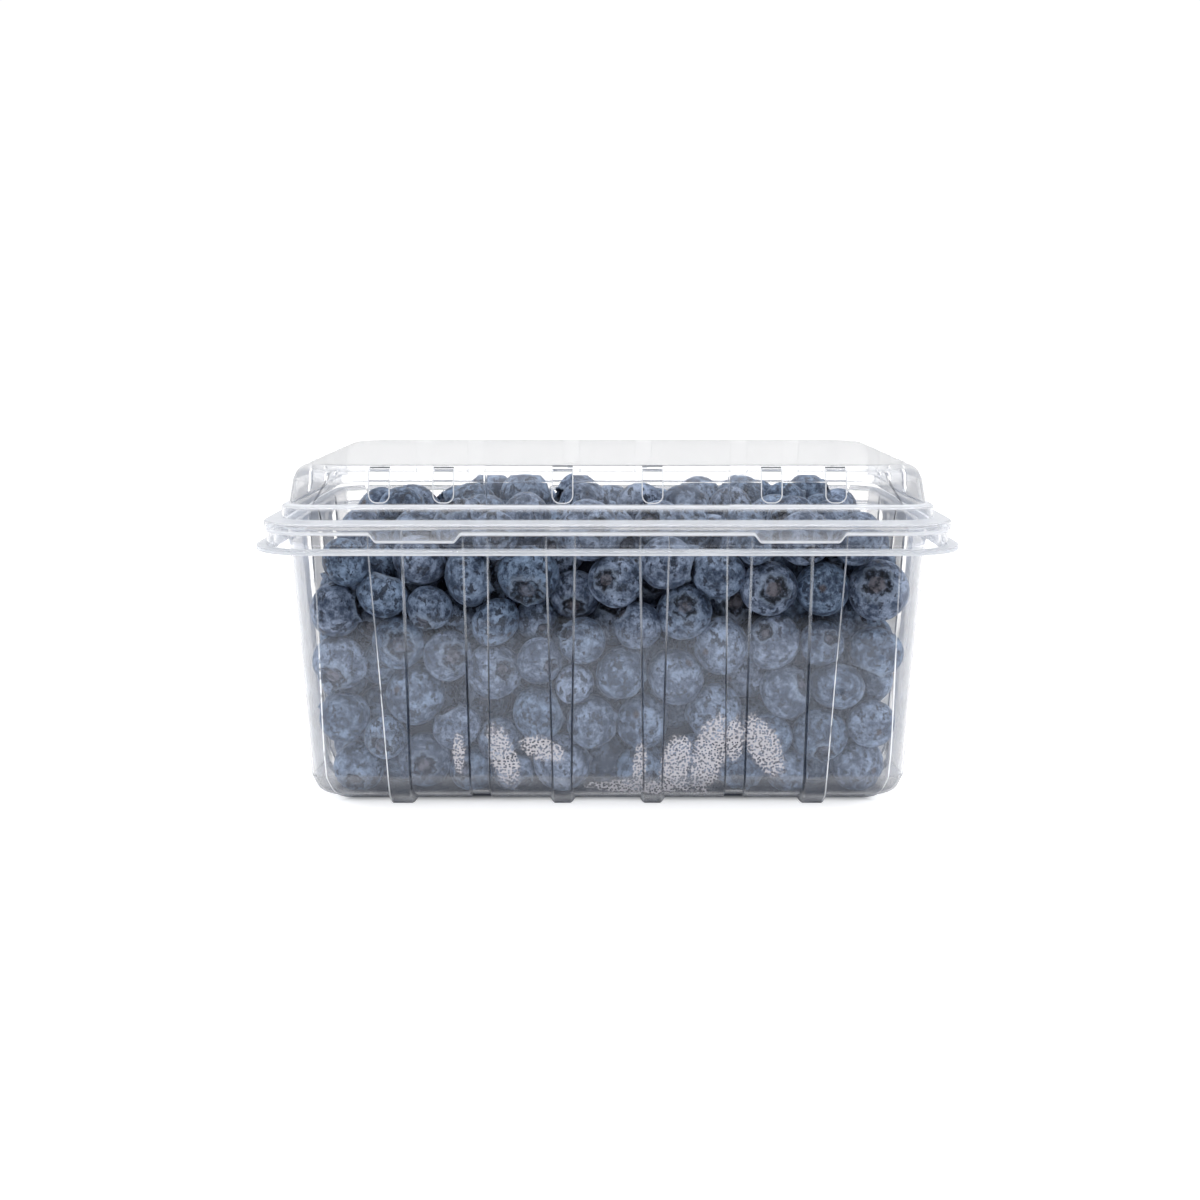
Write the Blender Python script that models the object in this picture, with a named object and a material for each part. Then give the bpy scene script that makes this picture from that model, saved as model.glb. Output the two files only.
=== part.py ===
"""A clear hinged clamshell of vacuum-formed plastic, filled with blueberries and shut.

Three pieces: the ribbed tub on its small feet, the lid that hinges on the tub's back
edge, and the heap of berries. Units are metres, +Z is up, +X runs along the pack, and
the pack's front, with the two opening tabs, faces -Y. The origin is on the surface the
feet stand on, under the middle of the whole pack.
"""
import math

import bmesh
import bpy
import numpy as np
from mathutils import Matrix

MM = 0.001

# ---- driving dimensions ----------------------------------------------------------------
PACK_LENGTH = 188.0 * MM        # over the flange, along X
PACK_DEPTH = 122.8 * MM         # over the flange, along Y
PACK_HEIGHT = 94.0 * MM         # from the feet to the top of the lid
SHEET = 0.45 * MM               # thickness of the formed sheet
CLEARANCE = 0.35 * MM           # between pieces that touch
HINGE_REACH = 1.2 * MM          # how far the hinge stands out behind the flange
CORNER_STEPS = 4                # facets round each corner

# Every level of the pack is a rounded rectangle, set in from the flange's outline.
FLANGE_CORNER = 17.0 * MM
SMALLEST_CORNER = 5.0 * MM

# Tub: heights of the middle of the sheet, and how far each level is set in.
BASE_HEIGHT = 1.5 * MM
FOOT_LENGTH = 7.0 * MM
BASE_INSET = 18.2 * MM
BEVEL_HEIGHT = 8.6 * MM
BEVEL_INSET = 12.7 * MM
BEVEL_BELLY = 1.1 * MM          # how far the bevel bulges out from a straight slope
FLANGE_HEIGHT = 71.9 * MM
WALL_TOP_INSET = 8.9 * MM
RIM_HEIGHT = 78.2 * MM
RIM_INNER_INSET = 8.6 * MM
RIM_OUTER_INSET = 5.0 * MM

# Ribs stand out of the tub's walls and end in feet; grooves run in.
LONG_RIBS = ((-58.6 * MM, 9.4 * MM), (-12.4 * MM, 8.0 * MM),
             (12.4 * MM, 8.0 * MM), (58.6 * MM, 9.4 * MM))
LONG_GROOVES = ((-34.9 * MM, 7.0 * MM), (34.9 * MM, 7.0 * MM))
SHORT_RIBS = ((-22.0 * MM, 8.6 * MM), (22.0 * MM, 8.6 * MM))
SHORT_GROOVES = ((0.0, 7.0 * MM),)
RIB_HEIGHT = 1.4 * MM
RIB_FLANK = 1.4 * MM
RIB_TAPER = 0.67                # a rib's width at the base, as a share of its width above
GROOVE_DEPTH = 0.9 * MM
GROOVE_NOTCH = 0.7 * MM         # how far a groove lifts the base's edge

# Lid: the same kind of levels, from the lip up to the top panel.
LIP_HEIGHT = 72.75 * MM
SKIRT_INSET = 2.9 * MM
SHOULDER_HEIGHT = 77.3 * MM
SHOULDER_INSET = 2.3 * MM
SHOULDER_TOP = 79.3 * MM
LOWER_WALL_INSET = 7.1 * MM
LOWER_WALL_HEIGHT = 79.9 * MM
LEDGE_HEIGHT = 83.2 * MM
LID_WALL_INSET = 9.1 * MM
LID_WALL_DRAFT = 0.6 * MM
TOP_FILLET = 4.0 * MM
LID_TOP_CORNER = 11.0 * MM      # the lid's wall gets rounder towards its top
BACK_LIP_TRIM = 0.7 * MM        # the lip stops short of the hinge by this much

PANEL_HALF_WIDTH = 32.0 * MM    # raised panel in the middle of the lid's long walls
PANEL_RAISE = 0.9 * MM
PANEL_EDGE = 1.2 * MM
TAB_INNER, TAB_OUTER = 39.0 * MM, 61.2 * MM
TAB_SLOPE = 2.2 * MM
TAB_DROP = 2.2 * MM

VENT_WIDTH = 5.4 * MM
VENT_BOTTOM = 84.4 * MM
VENT_TOP_INSET = 12.8 * MM
LONG_VENTS = (11.8 * MM, 43.1 * MM, 60.0 * MM)   # each on both sides of the middle
SHORT_VENTS = (-22.0 * MM, 0.0, 22.0 * MM)
VENT_ROUND_STEPS = 6

HINGE_LENGTH = 104.0 * MM
HINGE_RADIUS = 0.75 * MM
HINGE_SIDES = 8

# Berries: their sizes, how they settle, and the heap they make.
BERRY_SEED = 11
BERRY_COUNT = 492
BERRY_RADIUS = 7.0 * MM
BERRY_SPREAD = 0.75 * MM
BERRY_SMALLEST = 5.3 * MM
BERRY_LARGEST = 8.3 * MM
START_MARGIN = 17.0 * MM
EVEN_RATIO = 1.2207440846       # its powers spread points evenly through a box
SETTLE_STEPS = 1500
SETTLE_FALLING = 1000           # the steps in which the berries still fall
SETTLE_FALL = 0.12 * MM
SETTLE_PUSH = 0.3
PAIR_REFRESH = 15
PAIR_MARGIN = 4.0 * MM
HEAP_TOP = 87.4 * MM
HEAP_END = 60.0 * MM            # the heap falls off beyond this, towards its ends
HEAP_END_SLOPE = 0.55
HEAP_BOTTOM = 2.9 * MM
CORE_DEPTH = 7.0 * MM           # from the pack's walls in to the heap's solid core
CORE_TOP_DEPTH = 14.0 * MM      # from the top of the heap down to the core
CORE_END_DEPTH = 22.0 * MM
BERRY_SHRINK = 0.35 * MM        # keeps the fused heap's skin clear of the walls
FUSE_VOXEL = 1.5 * MM
HEAP_FACES_KEPT = 0.046         # share of the fused heap's faces that are kept

PET = ("clear_pet", (0.90, 0.93, 0.96, 0.30), 0.06)
FRUIT = ("blueberry_skin", (0.13, 0.19, 0.30, 1.0), 0.55)

# ---- values worked out from them --------------------------------------------------------
PACK_Y = -HINGE_REACH / 2       # middle of the flange, so that the hinge is inside the depth
FOOT_DROP = BASE_HEIGHT - SHEET / 2
HALF_LENGTH = PACK_LENGTH / 2
HALF_DEPTH = PACK_DEPTH / 2
TOP_HEIGHT = PACK_HEIGHT - SHEET / 2
FLANGE_BACK = PACK_Y + HALF_DEPTH
HINGE_Y = FLANGE_BACK + HINGE_REACH - HINGE_RADIUS
HINGE_Z = (FLANGE_HEIGHT + LIP_HEIGHT) / 2


def clear_scene():
    for item in list(bpy.data.objects):
        bpy.data.objects.remove(item, do_unlink=True)


def plastic_or_skin(name, colour, roughness):
    material = bpy.data.materials.new(name)
    material.use_nodes = True
    shader = material.node_tree.nodes["Principled BSDF"]
    shader.inputs["Base Color"].default_value = (*colour[:3], 1.0)
    shader.inputs["Roughness"].default_value = roughness
    shader.inputs["Metallic"].default_value = 0.0
    shader.inputs["Alpha"].default_value = colour[3]
    return material


def add_object(name, shape, finish):
    bmesh.ops.recalc_face_normals(shape, faces=shape.faces)
    mesh = bpy.data.meshes.new(name)
    shape.to_mesh(mesh)
    shape.free()
    piece = bpy.data.objects.new(name, mesh)
    bpy.context.collection.objects.link(piece)
    if finish:
        mesh.materials.append(plastic_or_skin(*finish))
    return piece


# ---- rounded rectangles, one for each level ----------------------------------------------
def corner(centre_x, centre_y, radius, start_degrees):
    angles = np.radians(np.linspace(start_degrees, start_degrees + 90, CORNER_STEPS + 1))
    return [(centre_x + radius * math.cos(angle), centre_y + radius * math.sin(angle), 0.0)
            for angle in angles]


def level_outline(inset, front, back, ends, smallest_corner=SMALLEST_CORNER):
    """Points (x, y, rise) round one level, counter-clockwise from the front's left end.

    front, back and ends list stops along a side as (place, outwards, rise)."""
    half_x = HALF_LENGTH - inset
    half_y = HALF_DEPTH - inset
    radius = max(FLANGE_CORNER - inset, smallest_corner)
    corner_x = half_x - radius
    corner_y = half_y - radius
    points = [(place, -half_y - out, rise) for place, out, rise in front]
    points += corner(corner_x, -corner_y, radius, -90)
    points += [(half_x + out, place, rise) for place, out, rise in ends]
    points += corner(corner_x, corner_y, radius, 0)
    points += [(place, half_y + out, rise) for place, out, rise in reversed(back)]
    points += corner(-corner_x, corner_y, radius, 90)
    points += [(-half_x - out, place, rise) for place, out, rise in reversed(ends)]
    points += corner(-corner_x, -corner_y, radius, 180)
    return points


def sheet_faces(path):
    """Offsets a path of (inset, height) to the two faces of the sheet round it."""
    path = np.array(path)
    along = np.diff(path, axis=0)
    along /= np.linalg.norm(along, axis=1)[:, None]
    normal = np.stack([-along[:, 1], along[:, 0]], axis=1)
    before = np.vstack([normal[:1], normal])
    after = np.vstack([normal, normal[-1:]])
    mitre = (before + after) / (1 + (before * after).sum(axis=1))[:, None]
    return path + mitre * SHEET / 2, path - mitre * SHEET / 2


def loft(shape, rings):
    """Joins rings of as many points each, and closes the first and the last one."""
    loops = [[shape.verts.new(point) for point in ring] for ring in rings]
    count = len(loops[0])
    for lower, upper in zip(loops, loops[1:]):
        for index in range(count):
            following = (index + 1) % count
            shape.faces.new((lower[index], lower[following], upper[following], upper[index]))
    shape.faces.new(loops[0])
    shape.faces.new(loops[-1])


def formed_sheet(path, stops_at):
    """A closed sheet along the levels of path; stops_at gives each level's stops."""
    rings = []
    upper, lower = sheet_faces(path)
    order = list(range(len(path)))
    for face, levels in ((upper, order), (lower, order[::-1])):
        for level in levels:
            inset, height = face[level]
            outline = level_outline(inset, *stops_at(level))
            rings.append([(x, y + PACK_Y, height + rise) for x, y, rise in outline])
    shape = bmesh.new()
    loft(shape, rings)
    return shape


# ---- tub ---------------------------------------------------------------------------------
def tub_levels():
    """Levels from the middle of the base out to the flange's edge.

    Each is (inset, height), then the share of the ribs' relief, of the feet's drop, and
    of the way down the wall, which narrows the ribs."""
    belly_inset = (BASE_INSET + BEVEL_INSET) / 2 - BEVEL_BELLY
    belly_height = (BASE_HEIGHT + BEVEL_HEIGHT) / 2 - BEVEL_BELLY
    foot_inset = BASE_INSET + FOOT_LENGTH
    return [
        ((foot_inset + RIB_FLANK, BASE_HEIGHT), (0.0, 0.0, 1.0)),
        ((foot_inset, BASE_HEIGHT), (0.3, 1.0, 1.0)),
        ((BASE_INSET, BASE_HEIGHT), (1.0, 1.0, 1.0)),
        ((belly_inset, belly_height), (1.0, 0.25, 0.95)),
        ((BEVEL_INSET, BEVEL_HEIGHT), (1.0, 0.0, 0.9)),
        ((WALL_TOP_INSET, FLANGE_HEIGHT), (1.0, 0.0, 0.0)),
        ((RIM_INNER_INSET, RIM_HEIGHT), (0.0, 0.0, 0.0)),
        ((RIM_OUTER_INSET, RIM_HEIGHT), (0.0, 0.0, 0.0)),
        ((RIM_OUTER_INSET - SHEET, FLANGE_HEIGHT), (0.0, 0.0, 0.0)),
        ((0.0, FLANGE_HEIGHT), (0.0, 0.0, 0.0)),
    ]


def relief_stops(ribs, grooves, relief, foot, down):
    stops = []
    features = [(place, width, RIB_HEIGHT, -FOOT_DROP) for place, width in ribs]
    features += [(place, width, -GROOVE_DEPTH, GROOVE_NOTCH) for place, width in grooves]
    for place, width, height, drop in sorted(features):
        half = width / 2
        if height > 0:
            half *= 1 - (1 - RIB_TAPER) * down
        else:
            drop *= relief
        stops.append((place - half, 0.0, 0.0))
        stops.append((place - half + RIB_FLANK, height * relief, drop * foot))
        stops.append((place + half - RIB_FLANK, height * relief, drop * foot))
        stops.append((place + half, 0.0, 0.0))
    return stops


def make_tub():
    levels = tub_levels()

    def stops_at(level):
        shares = levels[level][1]
        long_side = relief_stops(LONG_RIBS, LONG_GROOVES, *shares)
        short_side = relief_stops(SHORT_RIBS, SHORT_GROOVES, *shares)
        return long_side, long_side, short_side

    tub = add_object("tub", formed_sheet([place for place, shares in levels], stops_at), PET)
    join = tub.modifiers.new("hinge", "BOOLEAN")
    join.operation = "UNION"
    join.object = make_hinge_bead()
    return tub


def make_hinge_bead():
    """The folded web of the living hinge, a round bead along the flange's back edge."""
    rings = []
    for end in (-HINGE_LENGTH / 2, HINGE_LENGTH / 2):
        ring = []
        for side in range(HINGE_SIDES):
            angle = math.tau * side / HINGE_SIDES
            ring.append((end, HINGE_Y + HINGE_RADIUS * math.cos(angle),
                         HINGE_Z + HINGE_RADIUS * math.sin(angle)))
        rings.append(ring)
    shape = bmesh.new()
    loft(shape, rings)
    bead = add_object("hinge_bead", shape, None)
    bead.hide_render = True
    bead.display_type = "WIRE"
    return bead


# ---- lid ---------------------------------------------------------------------------------
def lid_levels():
    """Levels from the flat of the top panel down and out to the lip.

    Each is (inset, height), then how far the middle panel stands out there, how far the
    tabs drop, and how far the lip's back is trimmed."""
    wall_top_inset = LID_WALL_INSET + LID_WALL_DRAFT
    middle = TOP_FILLET * (1 - math.sqrt(0.5))
    fillet_inset = wall_top_inset + TOP_FILLET
    raised = (PANEL_RAISE, 0.0, 0.0)
    plain = (0.0, 0.0, 0.0)
    tabbed = (0.0, TAB_DROP, 0.0)
    trimmed = (0.0, 0.0, BACK_LIP_TRIM)
    return [
        ((fillet_inset + PANEL_EDGE, TOP_HEIGHT), plain),
        ((fillet_inset, TOP_HEIGHT), raised),
        ((wall_top_inset + middle, TOP_HEIGHT - middle), raised),
        ((wall_top_inset, TOP_HEIGHT - TOP_FILLET), raised),
        ((LID_WALL_INSET, LEDGE_HEIGHT + SHEET), raised),
        ((LOWER_WALL_INSET, LEDGE_HEIGHT), plain),
        ((LOWER_WALL_INSET, LOWER_WALL_HEIGHT), plain),
        ((SHOULDER_INSET, SHOULDER_TOP), plain),
        ((SHOULDER_INSET, SHOULDER_HEIGHT), tabbed),
        ((SKIRT_INSET, SHOULDER_HEIGHT - SHEET), tabbed),
        ((SKIRT_INSET, LIP_HEIGHT), plain),
        ((0.0, LIP_HEIGHT), trimmed),
    ]


def lid_side_stops(is_front, panel, tab, trim):
    rise = -tab if is_front else 0.0
    out = 0.0 if is_front else -trim
    half = [
        (PANEL_HALF_WIDTH - PANEL_EDGE / 2, out + panel, 0.0),
        (PANEL_HALF_WIDTH + PANEL_EDGE / 2, out, 0.0),
        (TAB_INNER - TAB_SLOPE / 2, out, 0.0),
        (TAB_INNER + TAB_SLOPE / 2, out, rise),
        (TAB_OUTER - TAB_SLOPE / 2, out, rise),
        (TAB_OUTER + TAB_SLOPE / 2, out, 0.0),
    ]
    mirrored = [(-place, stand, height) for place, stand, height in reversed(half)]
    return mirrored + half


def vent_cutter():
    """All the lid's vents as one mesh: upright slots with a round lower end."""
    shape = bmesh.new()
    radius = VENT_WIDTH / 2
    outline = []
    for step in range(VENT_ROUND_STEPS + 1):
        angle = math.pi + math.pi * step / VENT_ROUND_STEPS
        outline.append((radius * math.cos(angle), VENT_BOTTOM + radius * (1 + math.sin(angle))))
    above = PACK_HEIGHT + 5 * MM
    outline += [(radius, above), (-radius, above)]
    deep = VENT_TOP_INSET
    for place in LONG_VENTS:
        for x in (-place, place):
            for direction in (-1, 1):
                ends = (direction * (HALF_DEPTH - deep) + PACK_Y, direction * HALF_DEPTH + PACK_Y)
                loft(shape, [[(x + across, end, height) for across, height in outline]
                             for end in ends])
    for y in SHORT_VENTS:
        for direction in (-1, 1):
            ends = (direction * (HALF_LENGTH - deep), direction * HALF_LENGTH)
            loft(shape, [[(end, y + PACK_Y + across, height) for across, height in outline]
                         for end in ends])
    cutter = add_object("vent_cutter", shape, None)
    cutter.hide_render = True
    cutter.display_type = "WIRE"
    return cutter


def make_lid():
    levels = lid_levels()

    def stops_at(level):
        (inset, height), shares = levels[level]
        corner_radius = LID_TOP_CORNER if height > LEDGE_HEIGHT + SHEET else SMALLEST_CORNER
        return lid_side_stops(True, *shares), lid_side_stops(False, *shares), [], corner_radius

    lid = add_object("lid", formed_sheet([place for place, shares in levels], stops_at), PET)
    cut = lid.modifiers.new("vents", "BOOLEAN")
    cut.operation = "DIFFERENCE"
    cut.object = vent_cutter()
    return lid


# ---- berries -----------------------------------------------------------------------------
def inner_inset(height):
    """How far the pack's inner wall is set in at a height, with clearance for the fruit."""
    heights = (BEVEL_HEIGHT, FLANGE_HEIGHT - 6 * MM, FLANGE_HEIGHT + 2 * MM, PACK_HEIGHT)
    insets = (BEVEL_INSET, WALL_TOP_INSET + 0.3 * MM, LID_WALL_INSET + 0.5 * MM,
              LID_WALL_INSET + 1.0 * MM)
    return np.interp(height, heights, insets) + SHEET / 2 + CLEARANCE


def groove_push(place, grooves):
    """How far a groove pushes in what lies against the wall at a place along it."""
    push = np.zeros_like(place)
    for middle, width in grooves:
        beyond = np.abs(place - middle) - width / 2
        push = np.maximum(push, GROOVE_DEPTH * np.clip(1 - beyond / (3.4 * MM), 0, 1))
    return push


def keep_inside(centre, radius):
    """Moves berries back inside the walls, the bevel, the base and the heap's own outline."""
    x, y, z = centre.T
    slope_z = BEVEL_INSET - BASE_INSET
    slope_x = BEVEL_HEIGHT - BASE_HEIGHT
    slope = math.hypot(slope_x, slope_z)
    floor = BASE_HEIGHT + SHEET / 2 + CLEARANCE
    above_bevel = (z - floor) * -slope_z / slope
    bevel = BASE_INSET + (radius + CLEARANCE - above_bevel) * slope / slope_x
    wall = inner_inset(z) + radius
    push_y = groove_push(x, LONG_GROOVES)
    push_x = groove_push(y, SHORT_GROOVES)
    limit_x = HALF_LENGTH - np.maximum(wall + push_x, bevel)
    limit_y = HALF_DEPTH - np.maximum(wall + push_y, bevel)
    round_off = np.maximum(FLANGE_CORNER - inner_inset(z) - radius, 0)
    near_x = np.clip(x, round_off - limit_x, limit_x - round_off)
    near_y = np.clip(y, round_off - limit_y, limit_y - round_off)
    away = np.hypot(x - near_x, y - near_y)
    share = np.where(away > round_off, round_off / np.maximum(away, 1e-9), 1.0)
    top = HEAP_TOP - HEAP_END_SLOPE * np.maximum(np.abs(x) - HEAP_END, 0) - radius
    return np.stack([near_x + (x - near_x) * share, near_y + (y - near_y) * share,
                     np.clip(z, floor + radius, top)], axis=1)


def near_pairs(centre, radius):
    """Pairs of berries close enough to meet before the next refresh."""
    square = ((centre[:, None] - centre[None, :]) ** 2).sum(axis=2)
    reach = radius[:, None] + radius[None, :] + PAIR_MARGIN
    return np.nonzero(np.triu(square < reach ** 2, k=1))


def settle_berries():
    """Centres (about the pack's own middle) and radii of the berries, settled in the tub."""
    rng = np.random.default_rng(BERRY_SEED)
    radius = np.clip(rng.normal(BERRY_RADIUS, BERRY_SPREAD, BERRY_COUNT),
                     BERRY_SMALLEST, BERRY_LARGEST)
    room = np.array([HALF_LENGTH - START_MARGIN, HALF_DEPTH - START_MARGIN, HEAP_TOP / 2])
    even_steps = EVEN_RATIO ** -np.arange(1.0, 4.0)
    spots = (0.5 + np.outer(np.arange(BERRY_COUNT), even_steps)) % 1.0
    centre = (2 * spots - 1) * room + np.array([0.0, 0.0, HEAP_TOP / 2])
    for step in range(SETTLE_STEPS):
        if step % PAIR_REFRESH == 0:
            first, second = near_pairs(centre, radius)
        centre[:, 2] -= SETTLE_FALL * max(1 - step / SETTLE_FALLING, 0)
        apart = centre[first] - centre[second]
        distance = np.maximum(np.sqrt((apart ** 2).sum(axis=1)), 1e-9)
        overlap = np.maximum(radius[first] + radius[second] - distance, 0)
        push = apart * (SETTLE_PUSH * overlap / distance)[:, None]
        for axis in range(3):
            centre[:, axis] += np.bincount(first, push[:, axis], BERRY_COUNT)
            centre[:, axis] -= np.bincount(second, push[:, axis], BERRY_COUNT)
        centre = keep_inside(centre, radius)
    return centre, radius


def heap_core(shape):
    """A plain block under the outer berries, so that the heap has no hollow inside."""
    wall_bottom, wall_top = BEVEL_HEIGHT + CORE_DEPTH, HEAP_TOP - CORE_END_DEPTH
    levels = [
        (BASE_INSET + CORE_DEPTH / 2, HEAP_BOTTOM),
        (inner_inset(wall_bottom) + CORE_DEPTH, wall_bottom),
        (inner_inset(wall_top) + CORE_DEPTH, wall_top),
        (HALF_LENGTH - HEAP_END, HEAP_TOP - CORE_TOP_DEPTH),
    ]
    rings = []
    for inset, height in levels:
        outline = level_outline(inset, [], [], [])
        rings.append([(x, y + PACK_Y, height) for x, y, rise in outline])
    loft(shape, rings)


def heap_of_berries():
    """The core and every berry as closed shapes that run into each other."""
    shape = bmesh.new()
    heap_core(shape)
    for (x, y, z), radius in zip(*settle_berries()):
        place = Matrix.Translation((x, y + PACK_Y, z))
        bmesh.ops.create_icosphere(shape, subdivisions=2, radius=radius - BERRY_SHRINK,
                                   matrix=place)
    return shape


def outer_skin(mesh):
    """Keeps only the biggest closed surface, without the skins of pockets inside it."""
    shape = bmesh.new()
    shape.from_mesh(mesh)
    left = set(shape.verts)
    islands = []
    while left:
        island = {left.pop()}
        edge = list(island)
        while edge:
            vert = edge.pop()
            for link in vert.link_edges:
                other = link.other_vert(vert)
                if other in left:
                    left.remove(other)
                    island.add(other)
                    edge.append(other)
        islands.append(island)
    outer = max(islands, key=len)
    bmesh.ops.delete(shape, geom=[vert for vert in shape.verts if vert not in outer])
    return shape


def make_berries():
    rough = add_object("berries_rough", heap_of_berries(), None)
    fuse = rough.modifiers.new("fuse", "REMESH")
    fuse.mode = "VOXEL"
    fuse.voxel_size = FUSE_VOXEL
    bpy.context.view_layer.update()
    fused = rough.evaluated_get(bpy.context.evaluated_depsgraph_get())
    heap = add_object("berries", outer_skin(fused.to_mesh()), FRUIT)
    bpy.data.objects.remove(rough, do_unlink=True)
    lighten = heap.modifiers.new("lighten", "DECIMATE")
    lighten.ratio = HEAP_FACES_KEPT
    return heap


def smooth_round_pieces():
    for piece in bpy.data.objects:
        if piece.type == "MESH" and not piece.hide_render:
            piece.data.shade_smooth()
            piece.data.set_sharp_from_angle(angle=math.radians(35))


clear_scene()
make_tub()
make_lid()
make_berries()
smooth_round_pieces()
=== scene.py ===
"""Looks of a clear hinged clamshell pack of blueberries.

Metres, +Z up, +X along the pack; the front, with the two opening tabs, faces -Y.
"""
import math

import bmesh
import bpy
import numpy as np
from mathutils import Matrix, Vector


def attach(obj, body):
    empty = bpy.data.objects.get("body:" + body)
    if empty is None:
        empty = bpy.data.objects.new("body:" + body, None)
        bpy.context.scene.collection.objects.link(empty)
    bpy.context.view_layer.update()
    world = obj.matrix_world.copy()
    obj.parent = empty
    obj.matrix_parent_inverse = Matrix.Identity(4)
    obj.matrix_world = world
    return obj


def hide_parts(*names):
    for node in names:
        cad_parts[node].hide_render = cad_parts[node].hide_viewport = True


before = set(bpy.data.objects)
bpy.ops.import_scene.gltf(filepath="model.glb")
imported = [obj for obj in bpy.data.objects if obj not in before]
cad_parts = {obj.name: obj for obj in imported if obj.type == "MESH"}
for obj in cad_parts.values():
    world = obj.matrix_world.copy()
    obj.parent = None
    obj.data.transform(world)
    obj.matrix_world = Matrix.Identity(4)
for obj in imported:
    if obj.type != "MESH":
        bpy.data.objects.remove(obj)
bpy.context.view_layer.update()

MM = 0.001

# ---- the pack's own sizes ------------------------------------------------------------------
PACK_LENGTH = 188.0 * MM
PACK_DEPTH = 122.8 * MM
PACK_HEIGHT = 94.0 * MM
SHEET = 0.45 * MM
CLEARANCE = 0.35 * MM
HINGE_REACH = 1.2 * MM
FLANGE_CORNER = 17.0 * MM
SMALLEST_CORNER = 5.0 * MM
CORNER_STEPS = 18

BASE_HEIGHT = 1.5 * MM
FOOT_LENGTH = 7.0 * MM
BASE_INSET = 18.2 * MM
BEVEL_HEIGHT = 8.6 * MM
BEVEL_INSET = 12.7 * MM
BEVEL_BELLY = 1.1 * MM
FLANGE_HEIGHT = 71.9 * MM
WALL_TOP_INSET = 8.9 * MM
RIM_HEIGHT = 78.2 * MM
RIM_INNER_INSET = 8.6 * MM
RIM_OUTER_INSET = 5.0 * MM

LONG_RIBS = ((-58.6 * MM, 9.4 * MM), (-12.4 * MM, 8.0 * MM),
             (12.4 * MM, 8.0 * MM), (58.6 * MM, 9.4 * MM))
LONG_GROOVES = ((-34.9 * MM, 7.0 * MM), (34.9 * MM, 7.0 * MM))
SHORT_RIBS = ((-22.0 * MM, 8.6 * MM), (22.0 * MM, 8.6 * MM))
SHORT_GROOVES = ((0.0, 7.0 * MM),)
RIB_HEIGHT = 1.4 * MM
FOOT_FLANK = 1.4 * MM
RIB_EDGE = 0.75 * MM            # width of the steep bend on each side of a rib
RIB_EDGE_OUT = 0.15 * MM        # how far that bend starts outside the rib's width
RIB_TAPER = 0.67
GROOVE_TAPER = 0.82
RIB_LEAN = 2.0 * MM             # how far the outer ribs lean inwards on their way down
FOOT_SPREAD = 0.8 * MM          # how much wider the bend is round a foot
GROOVE_DEPTH = 0.9 * MM
GROOVE_NOTCH = 0.7 * MM

LIP_HEIGHT = 72.75 * MM
SKIRT_INSET = 2.9 * MM
SHOULDER_HEIGHT = 77.3 * MM
SHOULDER_INSET = 2.3 * MM
SHOULDER_TOP = 79.3 * MM
LOWER_WALL_INSET = 7.1 * MM
LOWER_WALL_HEIGHT = 79.9 * MM
LEDGE_HEIGHT = 83.2 * MM
LID_WALL_INSET = 9.1 * MM
LID_WALL_DRAFT = 0.6 * MM
TOP_FILLET = 4.0 * MM
LID_TOP_CORNER = 11.0 * MM      # the lid's wall gets rounder towards its top
BACK_LIP_TRIM = 0.7 * MM

PANEL_HALF_WIDTH = 32.0 * MM
PANEL_RAISE = 0.9 * MM
PANEL_EDGE = 1.2 * MM
TAB_INNER, TAB_OUTER = 39.0 * MM, 61.2 * MM
TAB_SLOPE = 2.2 * MM
TAB_DROP = 2.2 * MM

VENT_WIDTH = 5.4 * MM
VENT_CORNER = 2.1 * MM
VENT_BEAD = 0.16 * MM
VENT_BOTTOM = 84.4 * MM
VENT_TOP_INSET = 12.8 * MM
LONG_VENTS = (11.8 * MM, 43.1 * MM, 60.0 * MM)
SHORT_VENTS = (-22.0 * MM, 0.0, 22.0 * MM)

HINGE_LENGTH = 104.0 * MM
HINGE_RADIUS = 0.75 * MM

# ---- values worked out from them -----------------------------------------------------------
PACK_Y = -HINGE_REACH / 2
FOOT_DROP = BASE_HEIGHT - SHEET / 2
HALF_LENGTH = PACK_LENGTH / 2
HALF_DEPTH = PACK_DEPTH / 2
TOP_HEIGHT = PACK_HEIGHT - SHEET / 2
FLANGE_BACK = PACK_Y + HALF_DEPTH
HINGE_Y = FLANGE_BACK + HINGE_REACH - HINGE_RADIUS
HINGE_Z = (FLANGE_HEIGHT + LIP_HEIGHT) / 2

# ---- the berries: how they settle ----------------------------------------------------------
BERRY_SEED = 11
BERRY_COUNT = 492
BERRY_RADIUS = 7.0 * MM
BERRY_SPREAD = 0.75 * MM
BERRY_SMALLEST = 5.3 * MM
BERRY_LARGEST = 8.3 * MM
START_MARGIN = 17.0 * MM
EVEN_RATIO = 1.2207440846
SETTLE_STEPS = 1500
SETTLE_FALLING = 1000
SETTLE_FALL = 0.12 * MM
SETTLE_PUSH = 0.3
PAIR_REFRESH = 15
PAIR_MARGIN = 4.0 * MM
HEAP_TOP = 87.4 * MM
HEAP_END = 60.0 * MM
HEAP_END_SLOPE = 0.55
SHOWN_DEPTH = 27.0 * MM         # berries further in than this are hidden by those outside
CORE_DEPTH = 22.0 * MM
THIN_ABOVE = 77.0 * MM          # above this the heap has gaps
THIN_SHARE = 0.40
END_GAP = 0.972                 # leaves some air beside the berries at the tub's ends


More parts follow.
